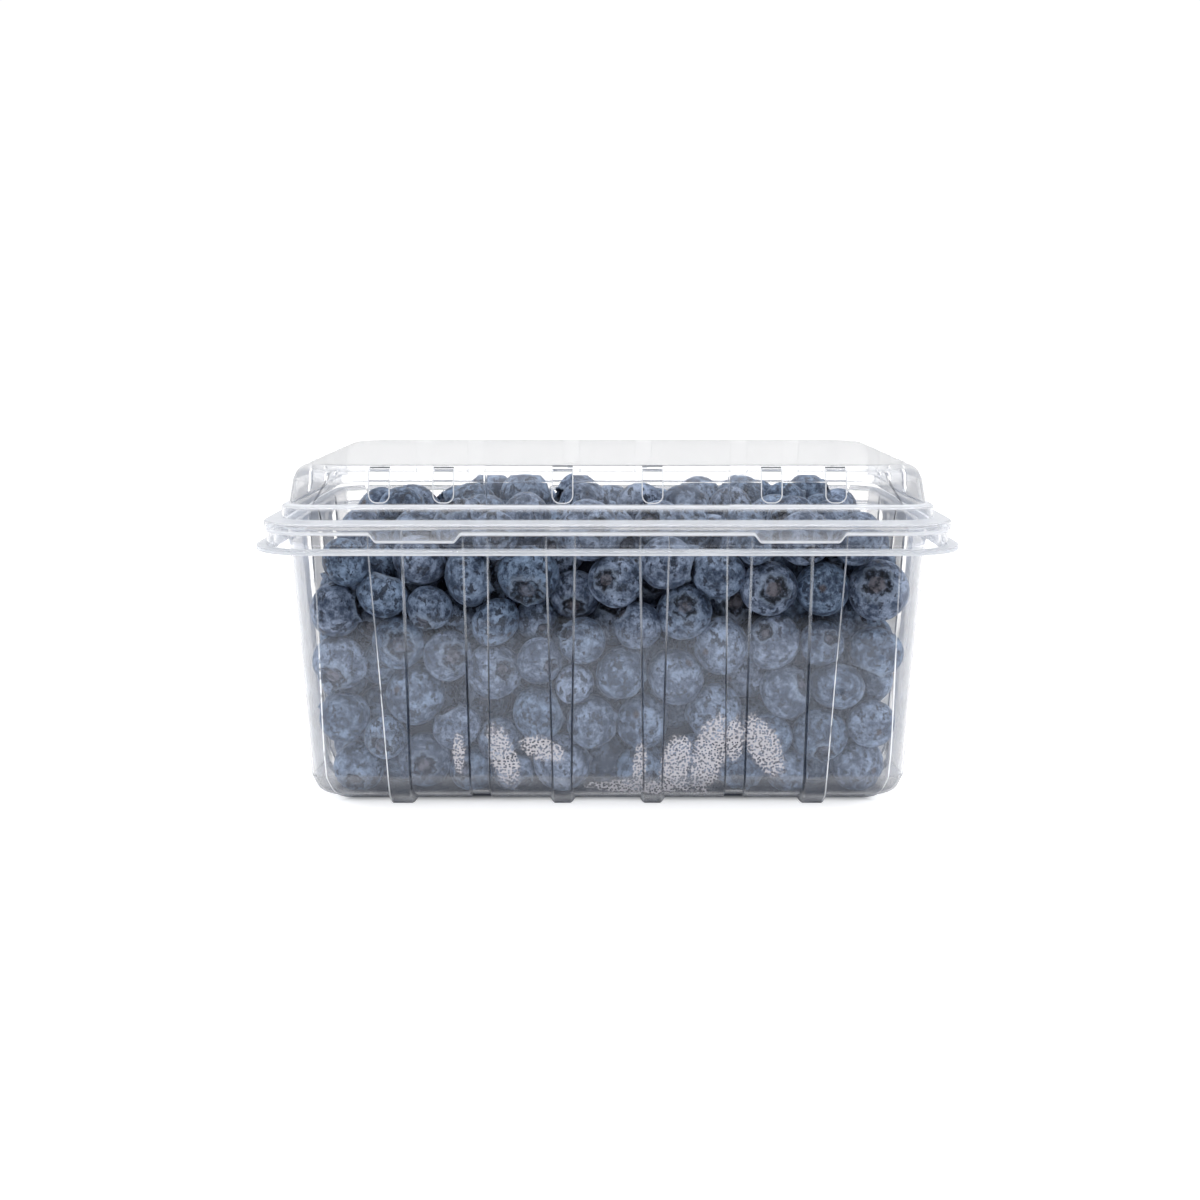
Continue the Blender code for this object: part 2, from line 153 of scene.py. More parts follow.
# ---- shader nodes as expressions -------------------------------------------------------------
class Wire:
    """One output of a material's nodes; arithmetic on it adds Math nodes."""

    def __init__(self, finish, socket):
        self.finish = finish
        self.socket = socket

    def maths(self, operation, first, second=0.0):
        return self.finish.add("ShaderNodeMath", {"operation": operation}, {0: first, 1: second})

    def __add__(self, other):
        return self.maths("ADD", self, other)

    __radd__ = __add__

    def __sub__(self, other):
        return self.maths("SUBTRACT", self, other)

    def __rsub__(self, other):
        return self.maths("SUBTRACT", other, self)

    def __mul__(self, other):
        return self.maths("MULTIPLY", self, other)

    __rmul__ = __mul__

    def __truediv__(self, other):
        return self.maths("DIVIDE", self, other)

    def __rtruediv__(self, other):
        return self.maths("DIVIDE", other, self)

    def __pow__(self, other):
        return self.maths("POWER", self, other)

    def size(self):
        return self.maths("ABSOLUTE", self)

    def most(self, other):
        return self.maths("MAXIMUM", self, other)

    def least(self, other):
        return self.maths("MINIMUM", self, other)

    def ramp(self, low, high):
        """0 below low, 1 above high and smooth between; high may be the lower one."""
        settings = {"interpolation_type": "SMOOTHSTEP"}
        return self.finish.add("ShaderNodeMapRange", settings,
                               {"Value": self, "From Min": low, "From Max": high})


class Finish:
    """A material under construction."""

    def __init__(self, name):
        self.material = bpy.data.materials.new(name)
        self.material.use_nodes = True
        self.tree = self.material.node_tree
        self.tree.nodes.clear()

    @classmethod
    def of_world(cls, world):
        finish = cls.__new__(cls)
        finish.tree = world.node_tree
        finish.tree.nodes.clear()
        return finish

    def close_world(self, background):
        node = self.tree.nodes.new("ShaderNodeOutputWorld")
        self.feed(node.inputs["Surface"], background)

    def add(self, kind, settings=None, values=None, output=0):
        node = self.tree.nodes.new(kind)
        for name, setting in (settings or {}).items():
            if name == "stops":
                self.set_stops(node.color_ramp, setting)
            else:
                setattr(node, name, setting)
        for name, value in (values or {}).items():
            self.feed(node.inputs[name], value)
        return Wire(self, node.outputs[output])

    def feed(self, socket, value):
        if isinstance(value, Wire):
            self.tree.links.new(value.socket, socket)
        elif isinstance(value, tuple) and socket.type == "RGBA":
            socket.default_value = (*value[:3], 1.0)
        else:
            socket.default_value = value

    @staticmethod
    def set_stops(ramp, stops):
        for place, colour in stops[2:]:
            ramp.elements.new(place)
        for element, (place, colour) in zip(ramp.elements, stops):
            element.position = place
            element.color = (*colour, 1.0)

    def place(self):
        return self.add("ShaderNodeTexCoord", output="Object")

    def part(self, axis):
        return self.add("ShaderNodeSeparateXYZ", None, {0: self.place()}, axis)

    def stretched(self, scale):
        settings = {"operation": "MULTIPLY"}
        return self.add("ShaderNodeVectorMath", settings, {0: self.place(), 1: scale})

    def noise(self, size, detail=3.0, roughness=0.5, where=None):
        values = {"Vector": where or self.place(), "Scale": 1.0 / size,
                  "Detail": detail, "Roughness": roughness}
        return self.add("ShaderNodeTexNoise", None, values)

    def cells(self, size, feature="F1", where=None, randomness=1.0):
        values = {"Vector": where or self.place(), "Scale": 1.0 / size,
                  "Randomness": randomness}
        return self.add("ShaderNodeTexVoronoi", {"feature": feature}, values)

    def drops(self, size, where):
        """Distance from the middle of the nearest drop of a flat scatter of them."""
        values = {"Vector": where, "Scale": 1.0 / size, "Randomness": 0.85}
        return self.add("ShaderNodeTexVoronoi", {"voronoi_dimensions": "2D"}, values)

    def attribute(self, name):
        return self.add("ShaderNodeAttribute", {"attribute_name": name}, None, "Fac")

    def mix(self, share, first, second):
        values = {"Factor": share, "A": first, "B": second}
        node = self.tree.nodes.new("ShaderNodeMix")
        node.data_type = "RGBA"
        by_name = {"Factor": node.inputs[0], "A": node.inputs[6], "B": node.inputs[7]}
        for name, value in values.items():
            self.feed(by_name[name], value)
        return Wire(self, node.outputs[2])

    def mix_shaders(self, share, first, second):
        return self.add("ShaderNodeMixShader", None, {0: share, 1: first, 2: second})

    def bump(self, height, distance, strength=1.0):
        values = {"Height": height, "Distance": distance, "Strength": strength}
        return self.add("ShaderNodeBump", None, values)

    def close(self, shader):
        values = {"Surface": shader}
        self.add_output(values)
        return self.material

    def add_output(self, values):
        node = self.tree.nodes.new("ShaderNodeOutputMaterial")
        self.feed(node.inputs["Surface"], values["Surface"])


FLAG_NEAR = 0.200                # where the dark cloth in front of the set begins


# ---- materials -------------------------------------------------------------------------------
PLASTIC_IOR = 1.57


# Patches where breath has settled inside the front wall: middle across and up, half width,
# half height, and how far the patch leans over its height.
FILM_PATCHES = (
    (-40.5 * MM, 15.7 * MM, 1.6 * MM, 5.2 * MM, 0.0), (-28.3 * MM, 14.5 * MM, 3.6 * MM, 8.6 * MM, -0.25),
    (-17.4 * MM, 16.9 * MM, 5.6 * MM, 3.6 * MM, -0.5), (9.6 * MM, 6.0 * MM, 14.0 * MM, 2.2 * MM, 0.0),
    (8.8 * MM, 12.5 * MM, 1.8 * MM, 6.5 * MM, 0.1), (18.6 * MM, 12.5 * MM, 4.0 * MM, 8.0 * MM, 0.1),
    (27.6 * MM, 15.0 * MM, 4.4 * MM, 11.0 * MM, 0.2), (34.5 * MM, 19.5 * MM, 2.4 * MM, 5.8 * MM, 0.0),
    (42.5 * MM, 17.8 * MM, 4.6 * MM, 8.2 * MM, -0.4))


def film_share(finish):
    """How much of the damp film there is at each place of the front wall."""
    across, depth, height = (finish.part(axis) for axis in range(3))
    ragged = (finish.noise(2.6 * MM, 5.0, 0.65) - 0.5) * 2.2
    film = None
    for middle, level, half_width, half_height, lean in FILM_PATCHES:
        up = height - level
        sideways = (across - middle - up * lean) / half_width
        patch = (sideways * sideways + up * up / half_height ** 2 + ragged).ramp(1.6, 0.1)
        film = patch if film is None else film.most(patch)
    flat = finish.add("ShaderNodeCombineXYZ", None, {0: across, 1: height})
    dry = 0.50 - film * 0.24
    around = finish.drops(0.80 * MM, flat).ramp(dry, dry + 0.12)
    coarse = finish.drops(2.1 * MM, flat).ramp(0.13, 0.21)
    front = depth.ramp(-30 * MM, -32 * MM)
    return film.ramp(0.0, 0.5) * front * (around * coarse * 0.52 + 0.06)


def clear_plastic(name, damp):
    """Thin clear plastic: it mirrors and bends what is seen, and lets light straight in.

    Its bends are painted with light and shade: "milky" whitens it with its own faint haze and with
    painted light at ledges and edges, "glint" with painted highlights, and "shade" and "dusk" darken it
    with painted shade."""
    finish = Finish(name)
    flow = finish.noise(2.2 * MM, 2.0, 0.5, finish.stretched((1.0, 1.0, 0.16)))
    uneven = finish.noise(5.0 * MM, 3.0, 0.6)
    plastic = finish.add("ShaderNodeBsdfPrincipled", None, {
        "Base Color": (0.99, 0.99, 0.995),
        "Roughness": flow.ramp(0.35, 0.8) * 0.04 + 0.01,
        "IOR": PLASTIC_IOR,
        "Specular Tint": (0.77, 0.84, 1.0),
        "Transmission Weight": 1.0,
        "Normal": finish.bump(flow, (0.06 if damp else 0.015) * MM, 0.3),
    })
    straight = finish.add("ShaderNodeBsdfTransparent", None, {0: (0.96, 0.965, 0.97)})
    # Pale finish for whitened bends: painted light, and the sheet's own faint haze.
    white = finish.add("ShaderNodeBsdfPrincipled", None, {
        "Base Color": (0.93, 0.95, 1.0),
        "Roughness": 0.35,
    })
    # Painted highlight for bends marked glint: a pale finish that glows a little.
    gleam = finish.add("ShaderNodeBsdfPrincipled", None, {
        "Base Color": (0.95, 0.97, 1.0),
        "Roughness": 0.3,
        "Emission Color": (0.95, 0.97, 1.0),
        "Emission Strength": 0.35,
    })
    # Painted shade for bends marked shade and dusk.
    dark = finish.add("ShaderNodeBsdfPrincipled", None, {
        "Base Color": (0.012, 0.020, 0.040),
        "Roughness": 0.3,
        "Specular IOR Level": 0.2,
    })
    grey = finish.add("ShaderNodeBsdfPrincipled", None, {
        "Base Color": (0.30, 0.33, 0.39),
        "Roughness": 0.35,
    })
    # The sheet's own faint haze, and painted light where ledges, edges and vent beads are whitened.
    milky = finish.attribute("milky") * (uneven.ramp(0.2, 0.6) * 0.20 + 0.80)
    glint = finish.attribute("glint") * uneven.ramp(0.25, 0.45)
    shade = finish.attribute("shade") * (flow.ramp(0.25, 0.6) * 0.5 + 0.4)
    shadow_ray = finish.add("ShaderNodeLightPath", None, None, "Is Shadow Ray")
    diffuse_ray = finish.add("ShaderNodeLightPath", None, None, "Is Diffuse Ray")
    # Painted shade: grey mixed in where the sheet is seen edge-on, below the lid's top, to darken its
    # outlines.
    edge_on = finish.add("ShaderNodeLayerWeight", None, {"Blend": 0.5}, "Facing")
    below_top = finish.part(2).ramp(TOP_HEIGHT - 1.4 * MM, TOP_HEIGHT - 2.2 * MM)
    outline_shade = edge_on.ramp(0.45, 0.95) * (below_top * 0.45 + 0.12)
    lined = finish.mix_shaders(outline_shade, plastic, grey)
    lined = finish.mix_shaders(milky, lined, white)
    lined = finish.mix_shaders(glint, lined, gleam)
    if damp:
        film = finish.add("ShaderNodeBsdfPrincipled", None, {
            "Base Color": (0.76, 0.74, 0.79),
            "Roughness": 0.5,
        })
        lined = finish.mix_shaders(film_share(finish), lined, film)
    # Painted shade over the base and bevel, where the dusk share is set.
    shade = shade.most(finish.attribute("dusk") * (uneven.ramp(0.65, 0.3) * 0.35 + 0.65))
    lined = finish.mix_shaders(shade, lined, dark)
    return finish.close(finish.mix_shaders(shadow_ray.most(diffuse_ray), lined, straight))


def blueberry_skin():
    """Dusty wax bloom over dark blue skin, rubbed off in ragged blots and fine scratches, with a painted
    sheen where the skin is seen at a grazing angle and painted shade in the gap round the crown.
    """
    finish = Finish("blueberry_skin")
    tone = finish.attribute("tone")
    wiped = finish.attribute("wiped")
    disc = finish.attribute("disc")
    gap = finish.attribute("gap")
    rim = finish.attribute("rim")
    scar = finish.attribute("scar")
    clouds = finish.noise(4.5 * MM, 6.0, 0.62)
    blots = finish.noise(1.7 * MM, 5.0, 0.65)
    spots = finish.noise(2.4 * MM, 6.0, 0.62, finish.stretched((1.3, 0.8, 1.0)))
    dust = finish.noise(0.45 * MM, 3.0, 0.75)
    curl = finish.noise(2.6 * MM, 4.0, 0.55)
    bloom = (clouds * 0.55 + blots * 0.45 - wiped * 0.018).ramp(0.39, 0.66)
    bare = (spots + wiped * 0.014).ramp(0.465, 0.40)
    scratch = (curl - 0.5).size().ramp(0.024, 0.0)
    grazing_sheen = finish.add("ShaderNodeLayerWeight", None, {"Blend": 0.35}, "Facing")
    grey = finish.mix(tone, (0.014, 0.028, 0.062), (0.034, 0.054, 0.104))
    white = finish.mix(tone, (0.285, 0.400, 0.590), (0.450, 0.545, 0.745))
    dark = finish.mix(dust, (0.002, 0.005, 0.014), (0.016, 0.028, 0.058))
    skin = finish.mix(bloom, grey, white)
    skin = finish.mix(dust.ramp(0.60, 0.35) * 0.35, skin, grey)
    skin = finish.mix(scratch * blots.ramp(0.62, 0.45) * 0.6, skin, dark)
    skin = finish.mix(bare * 0.95, skin, dark)
    skin = finish.mix(dust.ramp(0.40, 0.75) * 0.25, skin, (0.22, 0.28, 0.40))
    # Painted sheen: paler where the skin is seen at a grazing angle.
    skin = finish.mix(grazing_sheen.ramp(0.35, 0.95) * 0.30, skin, (0.24, 0.31, 0.43))
    middle = finish.mix(blots.ramp(0.36, 0.60), (0.016, 0.016, 0.024), (0.150, 0.140, 0.165))
    skin = finish.mix(disc * (tone * 0.35 + 0.60), skin, middle)
    skin = finish.mix(rim * dust.ramp(0.2, 0.6) * 0.7, skin, (0.24, 0.30, 0.40))
    # Painted shade in the gap between the crown's middle and its lobes.
    crown_gap_shade = gap * (blots.ramp(0.62, 0.44) * 0.65 + 0.30)
    skin = finish.mix(crown_gap_shade, skin, (0.004, 0.006, 0.012))
    scar_colour = finish.mix(dust.ramp(0.35, 0.6), (0.030, 0.026, 0.030), (0.11, 0.075, 0.065))
    skin = finish.mix(scar * 0.8, skin, scar_colour)
    relief = finish.bump(blots * 0.5 + dust * 0.5, 0.16 * MM, 0.5)
    body = finish.add("ShaderNodeBsdfPrincipled", None, {
        "Base Color": skin,
        "Roughness": 0.66 - bare * 0.28,
        "Specular IOR Level": 0.35,
        "Normal": relief,
    })
    return finish.close(body)


# Painted shade: a dark finish for the block that stands in for berries deep in the heap.
def heap_shade_finish():
    finish = Finish("heap_dark")
    shade = finish.noise(8 * MM, 3.0)
    colour = finish.mix(shade.ramp(0.3, 0.7), (0.008, 0.012, 0.025), (0.02, 0.028, 0.05))
    body = finish.add("ShaderNodeBsdfPrincipled", None, {
        "Base Color": colour,
        "Roughness": 0.8,
        "Specular IOR Level": 0.1,
    })
    return finish.close(body)


def pale_floor():
    """A floor lit from below as well (it glows for all but diffuse rays), so that shadows on it stay
    faint, with a painted shadow beneath the pack.
    """
    finish = Finish("pale_floor")
    speckle = finish.noise(60 * MM, 2.0)
    edge_x = HALF_LENGTH - BASE_INSET - 2 * MM
    edge_y = HALF_DEPTH - BASE_INSET - 2 * MM
    beside = (finish.part(0).size() - edge_x).most((finish.part(1) - PACK_Y).size() - edge_y)
    painted_shadow_under_pack = beside.ramp(1.5 * MM, -5 * MM)
    colour = finish.mix(speckle, (0.90, 0.90, 0.905), (0.93, 0.93, 0.935))
    # Painted shadow: darker beneath the pack.
    colour = finish.mix(painted_shadow_under_pack, colour, (0.045, 0.050, 0.065))
    diffuse_ray = finish.add("ShaderNodeLightPath", None, None, "Is Diffuse Ray")
    body = finish.add("ShaderNodeBsdfPrincipled", None, {
        "Base Color": colour,
        "Roughness": 0.7,
        "Specular IOR Level": 0.2,
        "Emission Color": finish.mix(diffuse_ray, colour, (0.0, 0.0, 0.0)),
        "Emission Strength": 0.5,
    })
    return finish.close(body)


def black_felt():
    """Dark cloth whose near edge is worn thin."""
    finish = Finish("black_felt")
    fibres = finish.noise(3 * MM, 2.0)
    worn = finish.noise(14 * MM, 3.0, 0.6) * 40 * MM
    body = finish.add("ShaderNodeBsdfPrincipled", None, {
        "Base Color": finish.mix(fibres, (0.004, 0.004, 0.006), (0.012, 0.012, 0.016)),
        "Roughness": 0.9,
        "Specular IOR Level": 0.0,
        "Alpha": (worn - finish.part(1)).ramp(FLAG_NEAR, FLAG_NEAR + 50 * MM),
    })
    return finish.close(body)


# ---- meshes ----------------------------------------------------------------------------------
def add_piece(name, mesh_or_shape, material):
    if isinstance(mesh_or_shape, bmesh.types.BMesh):
        mesh = bpy.data.meshes.new(name)
        mesh_or_shape.to_mesh(mesh)
        mesh_or_shape.free()
    else:
        mesh = mesh_or_shape
    mesh.name = name
    piece = bpy.data.objects.new(name, mesh)
    bpy.context.collection.objects.link(piece)
    if material:
        mesh.materials.clear()
        mesh.materials.append(material)
    return piece


def smooth(piece, degrees=38.0):
    piece.data.shade_smooth()
    piece.data.set_sharp_from_angle(angle=math.radians(degrees))


def bake_modifiers(piece):
    """Puts the result of a piece's modifiers into its mesh."""
    bpy.context.view_layer.update()
    evaluated = piece.evaluated_get(bpy.context.evaluated_depsgraph_get())
    mesh = bpy.data.meshes.new_from_object(evaluated)
    old = piece.data
    piece.modifiers.clear()
    piece.data = mesh
    mesh.name = piece.name
    bpy.data.meshes.remove(old)


def ease(share):
    return share * share * (3 - 2 * share)


CREASE_ANGLES = (0.0, 1.6, 3.2, 4.8)    # degrees; a corner's first stations are close together
CREASE = 1                              # the first of the two stations a crease runs along


def corner_angles():
    """Angles of the stations from a corner's start to its end, close together at both."""
    between = np.linspace(9.0, 81.0, CORNER_STEPS - 1)
    degrees = [*CREASE_ANGLES, *between, *(90.0 - angle for angle in CREASE_ANGLES[::-1])]
    return np.radians(np.array(degrees) - 90.0)


class Outline:
    """Stations round a rounded rectangle, with named reliefs that each level takes a share of.

    Each side is a list of stations (place, {relief: (out, rise, slide), mark: strength}). The
    marks are painted light and shade along the sheet: a painted highlight ("glint") or painted
    shade ("shade") where its bends gather light or darkness. Of the reliefs, "lines" tells how
    strongly a level shows its marks, "milky" how white the sheet is there, from
    its own faint haze and from painted light on ledges and edges, "dusk" how dark it is painted
    as shade, and "round" how far its corners reach LID_TOP_CORNER."""

    MARKS = ("glint", "shade")
    PAINT = ("glint", "shade", "milky", "dusk")

    def __init__(self, reliefs, front, end, back, crease=None):
        self.reliefs = reliefs
        self.stations = []
        angles = corner_angles()
        creases = (CREASE, CREASE + 1, len(angles) - 1 - CREASE, len(angles) - 2 - CREASE)
        for side, stops in enumerate((front, end, back, end)):
            ordered = stops if side in (0, 1) else stops[::-1]
            self.stations += [(side, place, shifts) for place, shifts in ordered]
            for number, angle in enumerate(angles + side * math.pi / 2):
                marks = (crease or {}) if number in creases else {}
                self.stations.append((side + 4, angle, marks))
        count = len(self.stations)
        self.kind = np.array([kind for kind, place, shifts in self.stations])
        self.place = np.array([place for kind, place, shifts in self.stations])
        self.shifts = np.zeros((len(reliefs), 3, count))
        self.marks = {name: np.zeros(count) for name in self.MARKS}
        for index, (kind, place, shifts) in enumerate(self.stations):
            for name, shift in shifts.items():
                if name in self.marks:
                    self.marks[name][index] = shift
                else:
                    self.shifts[reliefs.index(name), :, index] = shift

    def share_of(self, relief, shares):
        return shares[self.reliefs.index(relief)] if relief in self.reliefs else 0.0

    def ring(self, inset, height, shares):
        """Points (x, y, z) of one level."""
        half_x, half_y = HALF_LENGTH - inset, HALF_DEPTH - inset
        smallest = SMALLEST_CORNER
        smallest += (LID_TOP_CORNER - SMALLEST_CORNER) * self.share_of("round", shares)
        radius = max(FLANGE_CORNER - inset, smallest)
        out, rise, slide = np.tensordot(np.array(shares), self.shifts, axes=1)
        place = self.place + slide
        points = np.zeros((len(place), 3))
        for side, (across, facing) in enumerate(((0, -1), (1, 1), (0, 1), (1, -1))):
            on_side = self.kind == side
            half = half_y if across == 0 else half_x
            points[on_side, across] = place[on_side]
            points[on_side, 1 - across] = facing * (half + out[on_side])
        for corner, (sign_x, sign_y) in enumerate(((1, -1), (1, 1), (-1, 1), (-1, -1))):
            on_corner = self.kind == corner + 4
            angle = self.place[on_corner]
            points[on_corner, 0] = sign_x * (half_x - radius) + radius * np.cos(angle)
            points[on_corner, 1] = sign_y * (half_y - radius) + radius * np.sin(angle)
        points[:, 1] += PACK_Y
        points[:, 2] = height + rise
        return points

    def paint(self, shares, outside):
        """Strengths of the four kinds of paint along one level: glint (painted highlight), shade
        (painted shade), milky, and dusk (painted shade).
        """
        lines = self.share_of("lines", shares) if outside else 0.0
        pale = self.share_of("pale", shares) if outside else 0.0
        milky = np.full(len(self.place), self.share_of("milky", shares))
        dusk = np.full(len(self.place), self.share_of("dusk", shares) if outside else 0.0)
        # Where a level is pale, both kinds of mark are painted as highlight instead of shade.
        glint = self.marks["glint"] * max(lines, pale) + self.marks["shade"] * pale
        return np.stack([glint, self.marks["shade"] * lines, milky, dusk])


def rounded_path(levels, straight_step):
    """Rounds the corners of a path of levels and divides its straight stretches.

    A level is ((inset, height), fillet radius, shares). The last share runs evenly from one
    level to the next; the others ease in and out."""
    places = np.array([level[0] for level in levels])
    radii = [level[1] for level in levels]
    shares = np.array([level[2] for level in levels])

    def between(index, along):
        eased = ease(along)
        mixed = shares[index] * (1 - eased) + shares[index + 1] * eased
        mixed[-1] = shares[index, -1] * (1 - along) + shares[index + 1, -1] * along
        return mixed

    points, point_shares = [places[0]], [shares[0]]
    run = np.diff(places, axis=0)
    length = np.linalg.norm(run, axis=1)
    ahead = run / length[:, None]
    cut = np.zeros(len(levels))
    for index in range(1, len(levels) - 1):
        turn = math.acos(np.clip(ahead[index - 1] @ ahead[index], -1, 1))
        cut[index] = min(radii[index] * math.tan(turn / 2), 0.48 * min(length[index - 1:index + 1]))
    for index in range(len(levels) - 1):
        start, end = cut[index] / length[index], 1 - cut[index + 1] / length[index]
        steps = max(1, int(math.ceil((end - start) * length[index] / straight_step)))
        for along in np.linspace(start, end, steps + 1)[1:]:
            points.append(places[index] + run[index] * along)
            point_shares.append(between(index, along))
        if cut[index + 1] > 0:
            before = places[index + 1] - ahead[index] * cut[index + 1]
            after = places[index + 1] + ahead[index + 1] * cut[index + 1]
            turn = math.acos(np.clip(ahead[index] @ ahead[index + 1], -1, 1))
            bends = max(2, int(math.ceil(math.degrees(turn) / 12)))
            for bend in range(1, bends + 1):
                way = bend / bends
                pull = 2 * way * (1 - way)
                points.append(before * (1 - way) ** 2 + places[index + 1] * pull + after * way ** 2)
                share_before = between(index, 1 - cut[index + 1] / length[index])
                share_after = between(index + 1, cut[index + 1] / length[index + 1])
                point_shares.append(share_before * (1 - way) + share_after * way)
    return np.array(points), np.array(point_shares)


def sheet_faces(path):
    along = np.diff(path, axis=0)
    along /= np.linalg.norm(along, axis=1)[:, None]
    normal = np.stack([-along[:, 1], along[:, 0]], axis=1)
    before = np.vstack([normal[:1], normal])
    after = np.vstack([normal, normal[-1:]])
    mitre = (before + after) / (1 + (before * after).sum(axis=1))[:, None]
    return path + mitre * SHEET / 2, path - mitre * SHEET / 2


def loft(rings, closed=True):
    """A mesh through rings of as many points each, with its two ends closed."""
    shape = bmesh.new()
    loops = [[shape.verts.new(point) for point in ring] for ring in rings]
    count = len(loops[0])
    for lower, upper in zip(loops, loops[1:]):
        for index in range(count):
            following = (index + 1) % count
            shape.faces.new((lower[index], lower[following], upper[following], upper[index]))
    if closed:
        shape.faces.new(loops[0])
        shape.faces.new(loops[-1])
    bmesh.ops.recalc_face_normals(shape, faces=shape.faces)
    return shape


def formed_sheet(name, outline, levels, straight_step, first_face_outside):
    """A closed sheet along the levels, with what is painted on it as attributes."""
    path, shares = rounded_path(levels, straight_step)
    first, second = sheet_faces(path)
    rings = [outline.ring(*place, share) for place, share in zip(first, shares)]
    paint = [outline.paint(share, first_face_outside) for share in shares]
    rings += [outline.ring(*place, share) for place, share in zip(second[::-1], shares[::-1])]
    paint += [outline.paint(share, not first_face_outside) for share in shares[::-1]]
    sheet = add_piece(name, loft(rings), None)
    strengths = np.concatenate(paint, axis=1)
    for mark, strength in zip(outline.PAINT, strengths):
        layer = sheet.data.attributes.new(mark, "FLOAT", "POINT")
        layer.data.foreach_set("value", strength.astype(np.float32))
    return sheet


# ---- tub -------------------------------------------------------------------------------------
FLANK_STEPS = 8
# lines, milky, dusk and pale carry painted light and shade, not shape.
TUB_RELIEFS = ("relief", "foot", "notch", "lines", "milky", "dusk", "pale", "down")


def tub_side(ribs, grooves, limit):
    """Stations along one side of the tub: ribs stand out and end in feet, grooves run in."""
    features = [(place, width, RIB_HEIGHT) for place, width in ribs]
    features += [(place, width, -GROOVE_DEPTH) for place, width in grooves]
    stations = []
    last = (-limit, 0.0)
    for place, width, height in sorted(features):
        half = width / 2 + RIB_EDGE_OUT
        slide = (1 - (RIB_TAPER if height > 0 else GROOVE_TAPER)) * half
        half_clear = half + 0.25 * RIB_EDGE
        is_outer = height > 0 and abs(place) > 0.8 * limit
        lean = -math.copysign(RIB_LEAN, place) if is_outer else 0.0
        stations += plain_run(last, (place - half_clear, slide + lean))
        for facing in (-1, 1):
            for step in range(-2, FLANK_STEPS + 3):
                share = step / FLANK_STEPS if facing < 0 else 1 - step / FLANK_STEPS
                raised = ease(min(max(share, 0.0), 1.0))
                where = place + facing * (half - RIB_EDGE * share)
                shifts = {"relief": (height * raised, 0, 0),
                          "down": (0, 0, lean - facing * slide)}
                if height > 0:
                    short = 1 - min(max(share, 0.0), 1.0)
                    shifts["foot"] = (0, -FOOT_DROP * (1 - short ** 2), facing * FOOT_SPREAD * short)
                else:
                    shifts["notch"] = (0, GROOVE_NOTCH * raised, 0)
                # Painted highlight along the outer edge of each outer rib, painted shade along the other
                # edges.
                if is_outer and facing * place > 0:
                    shifts["glint"] = 1.0 if 2 <= step <= 6 else 0.0
                else:
                    shifts["shade"] = 1.0 if 2 <= step <= 6 else 0.0
                stations.append((where, shifts))
        last = (place + half_clear, lean - slide)
    return stations + plain_run(last, (limit, 0.0))


def plain_run(start, end, step=5.0 * MM):
    """Stations strictly between two places, sliding with the features beside them."""
    steps = max(1, round((end[0] - start[0]) / step))
    stations = []
    for index in range(1, steps):
        share = index / steps
        where = start[0] * (1 - share) + end[0] * share
        slide = start[1] * (1 - share) + end[1] * share
        stations.append((where, {"down": (0, 0, slide)}))
    return stations


def tub_outline():
    long_limit = HALF_LENGTH - BASE_INSET - FOOT_LENGTH - SMALLEST_CORNER - 4.5 * MM
    short_limit = HALF_DEPTH - BASE_INSET - FOOT_LENGTH - SMALLEST_CORNER - 4.5 * MM
    long_side = tub_side(LONG_RIBS, LONG_GROOVES, max(long_limit, 64.0 * MM))
    short_side = tub_side(SHORT_RIBS, SHORT_GROOVES, max(short_limit, 26.5 * MM))
    # The tub's corner creases carry a painted highlight.
    return Outline(TUB_RELIEFS, long_side, short_side, long_side, {"glint": 1.0})


def wall_inset(height):
    share = (height - BEVEL_HEIGHT) / (FLANGE_HEIGHT - BEVEL_HEIGHT)
    return BEVEL_INSET + (WALL_TOP_INSET - BEVEL_INSET) * share


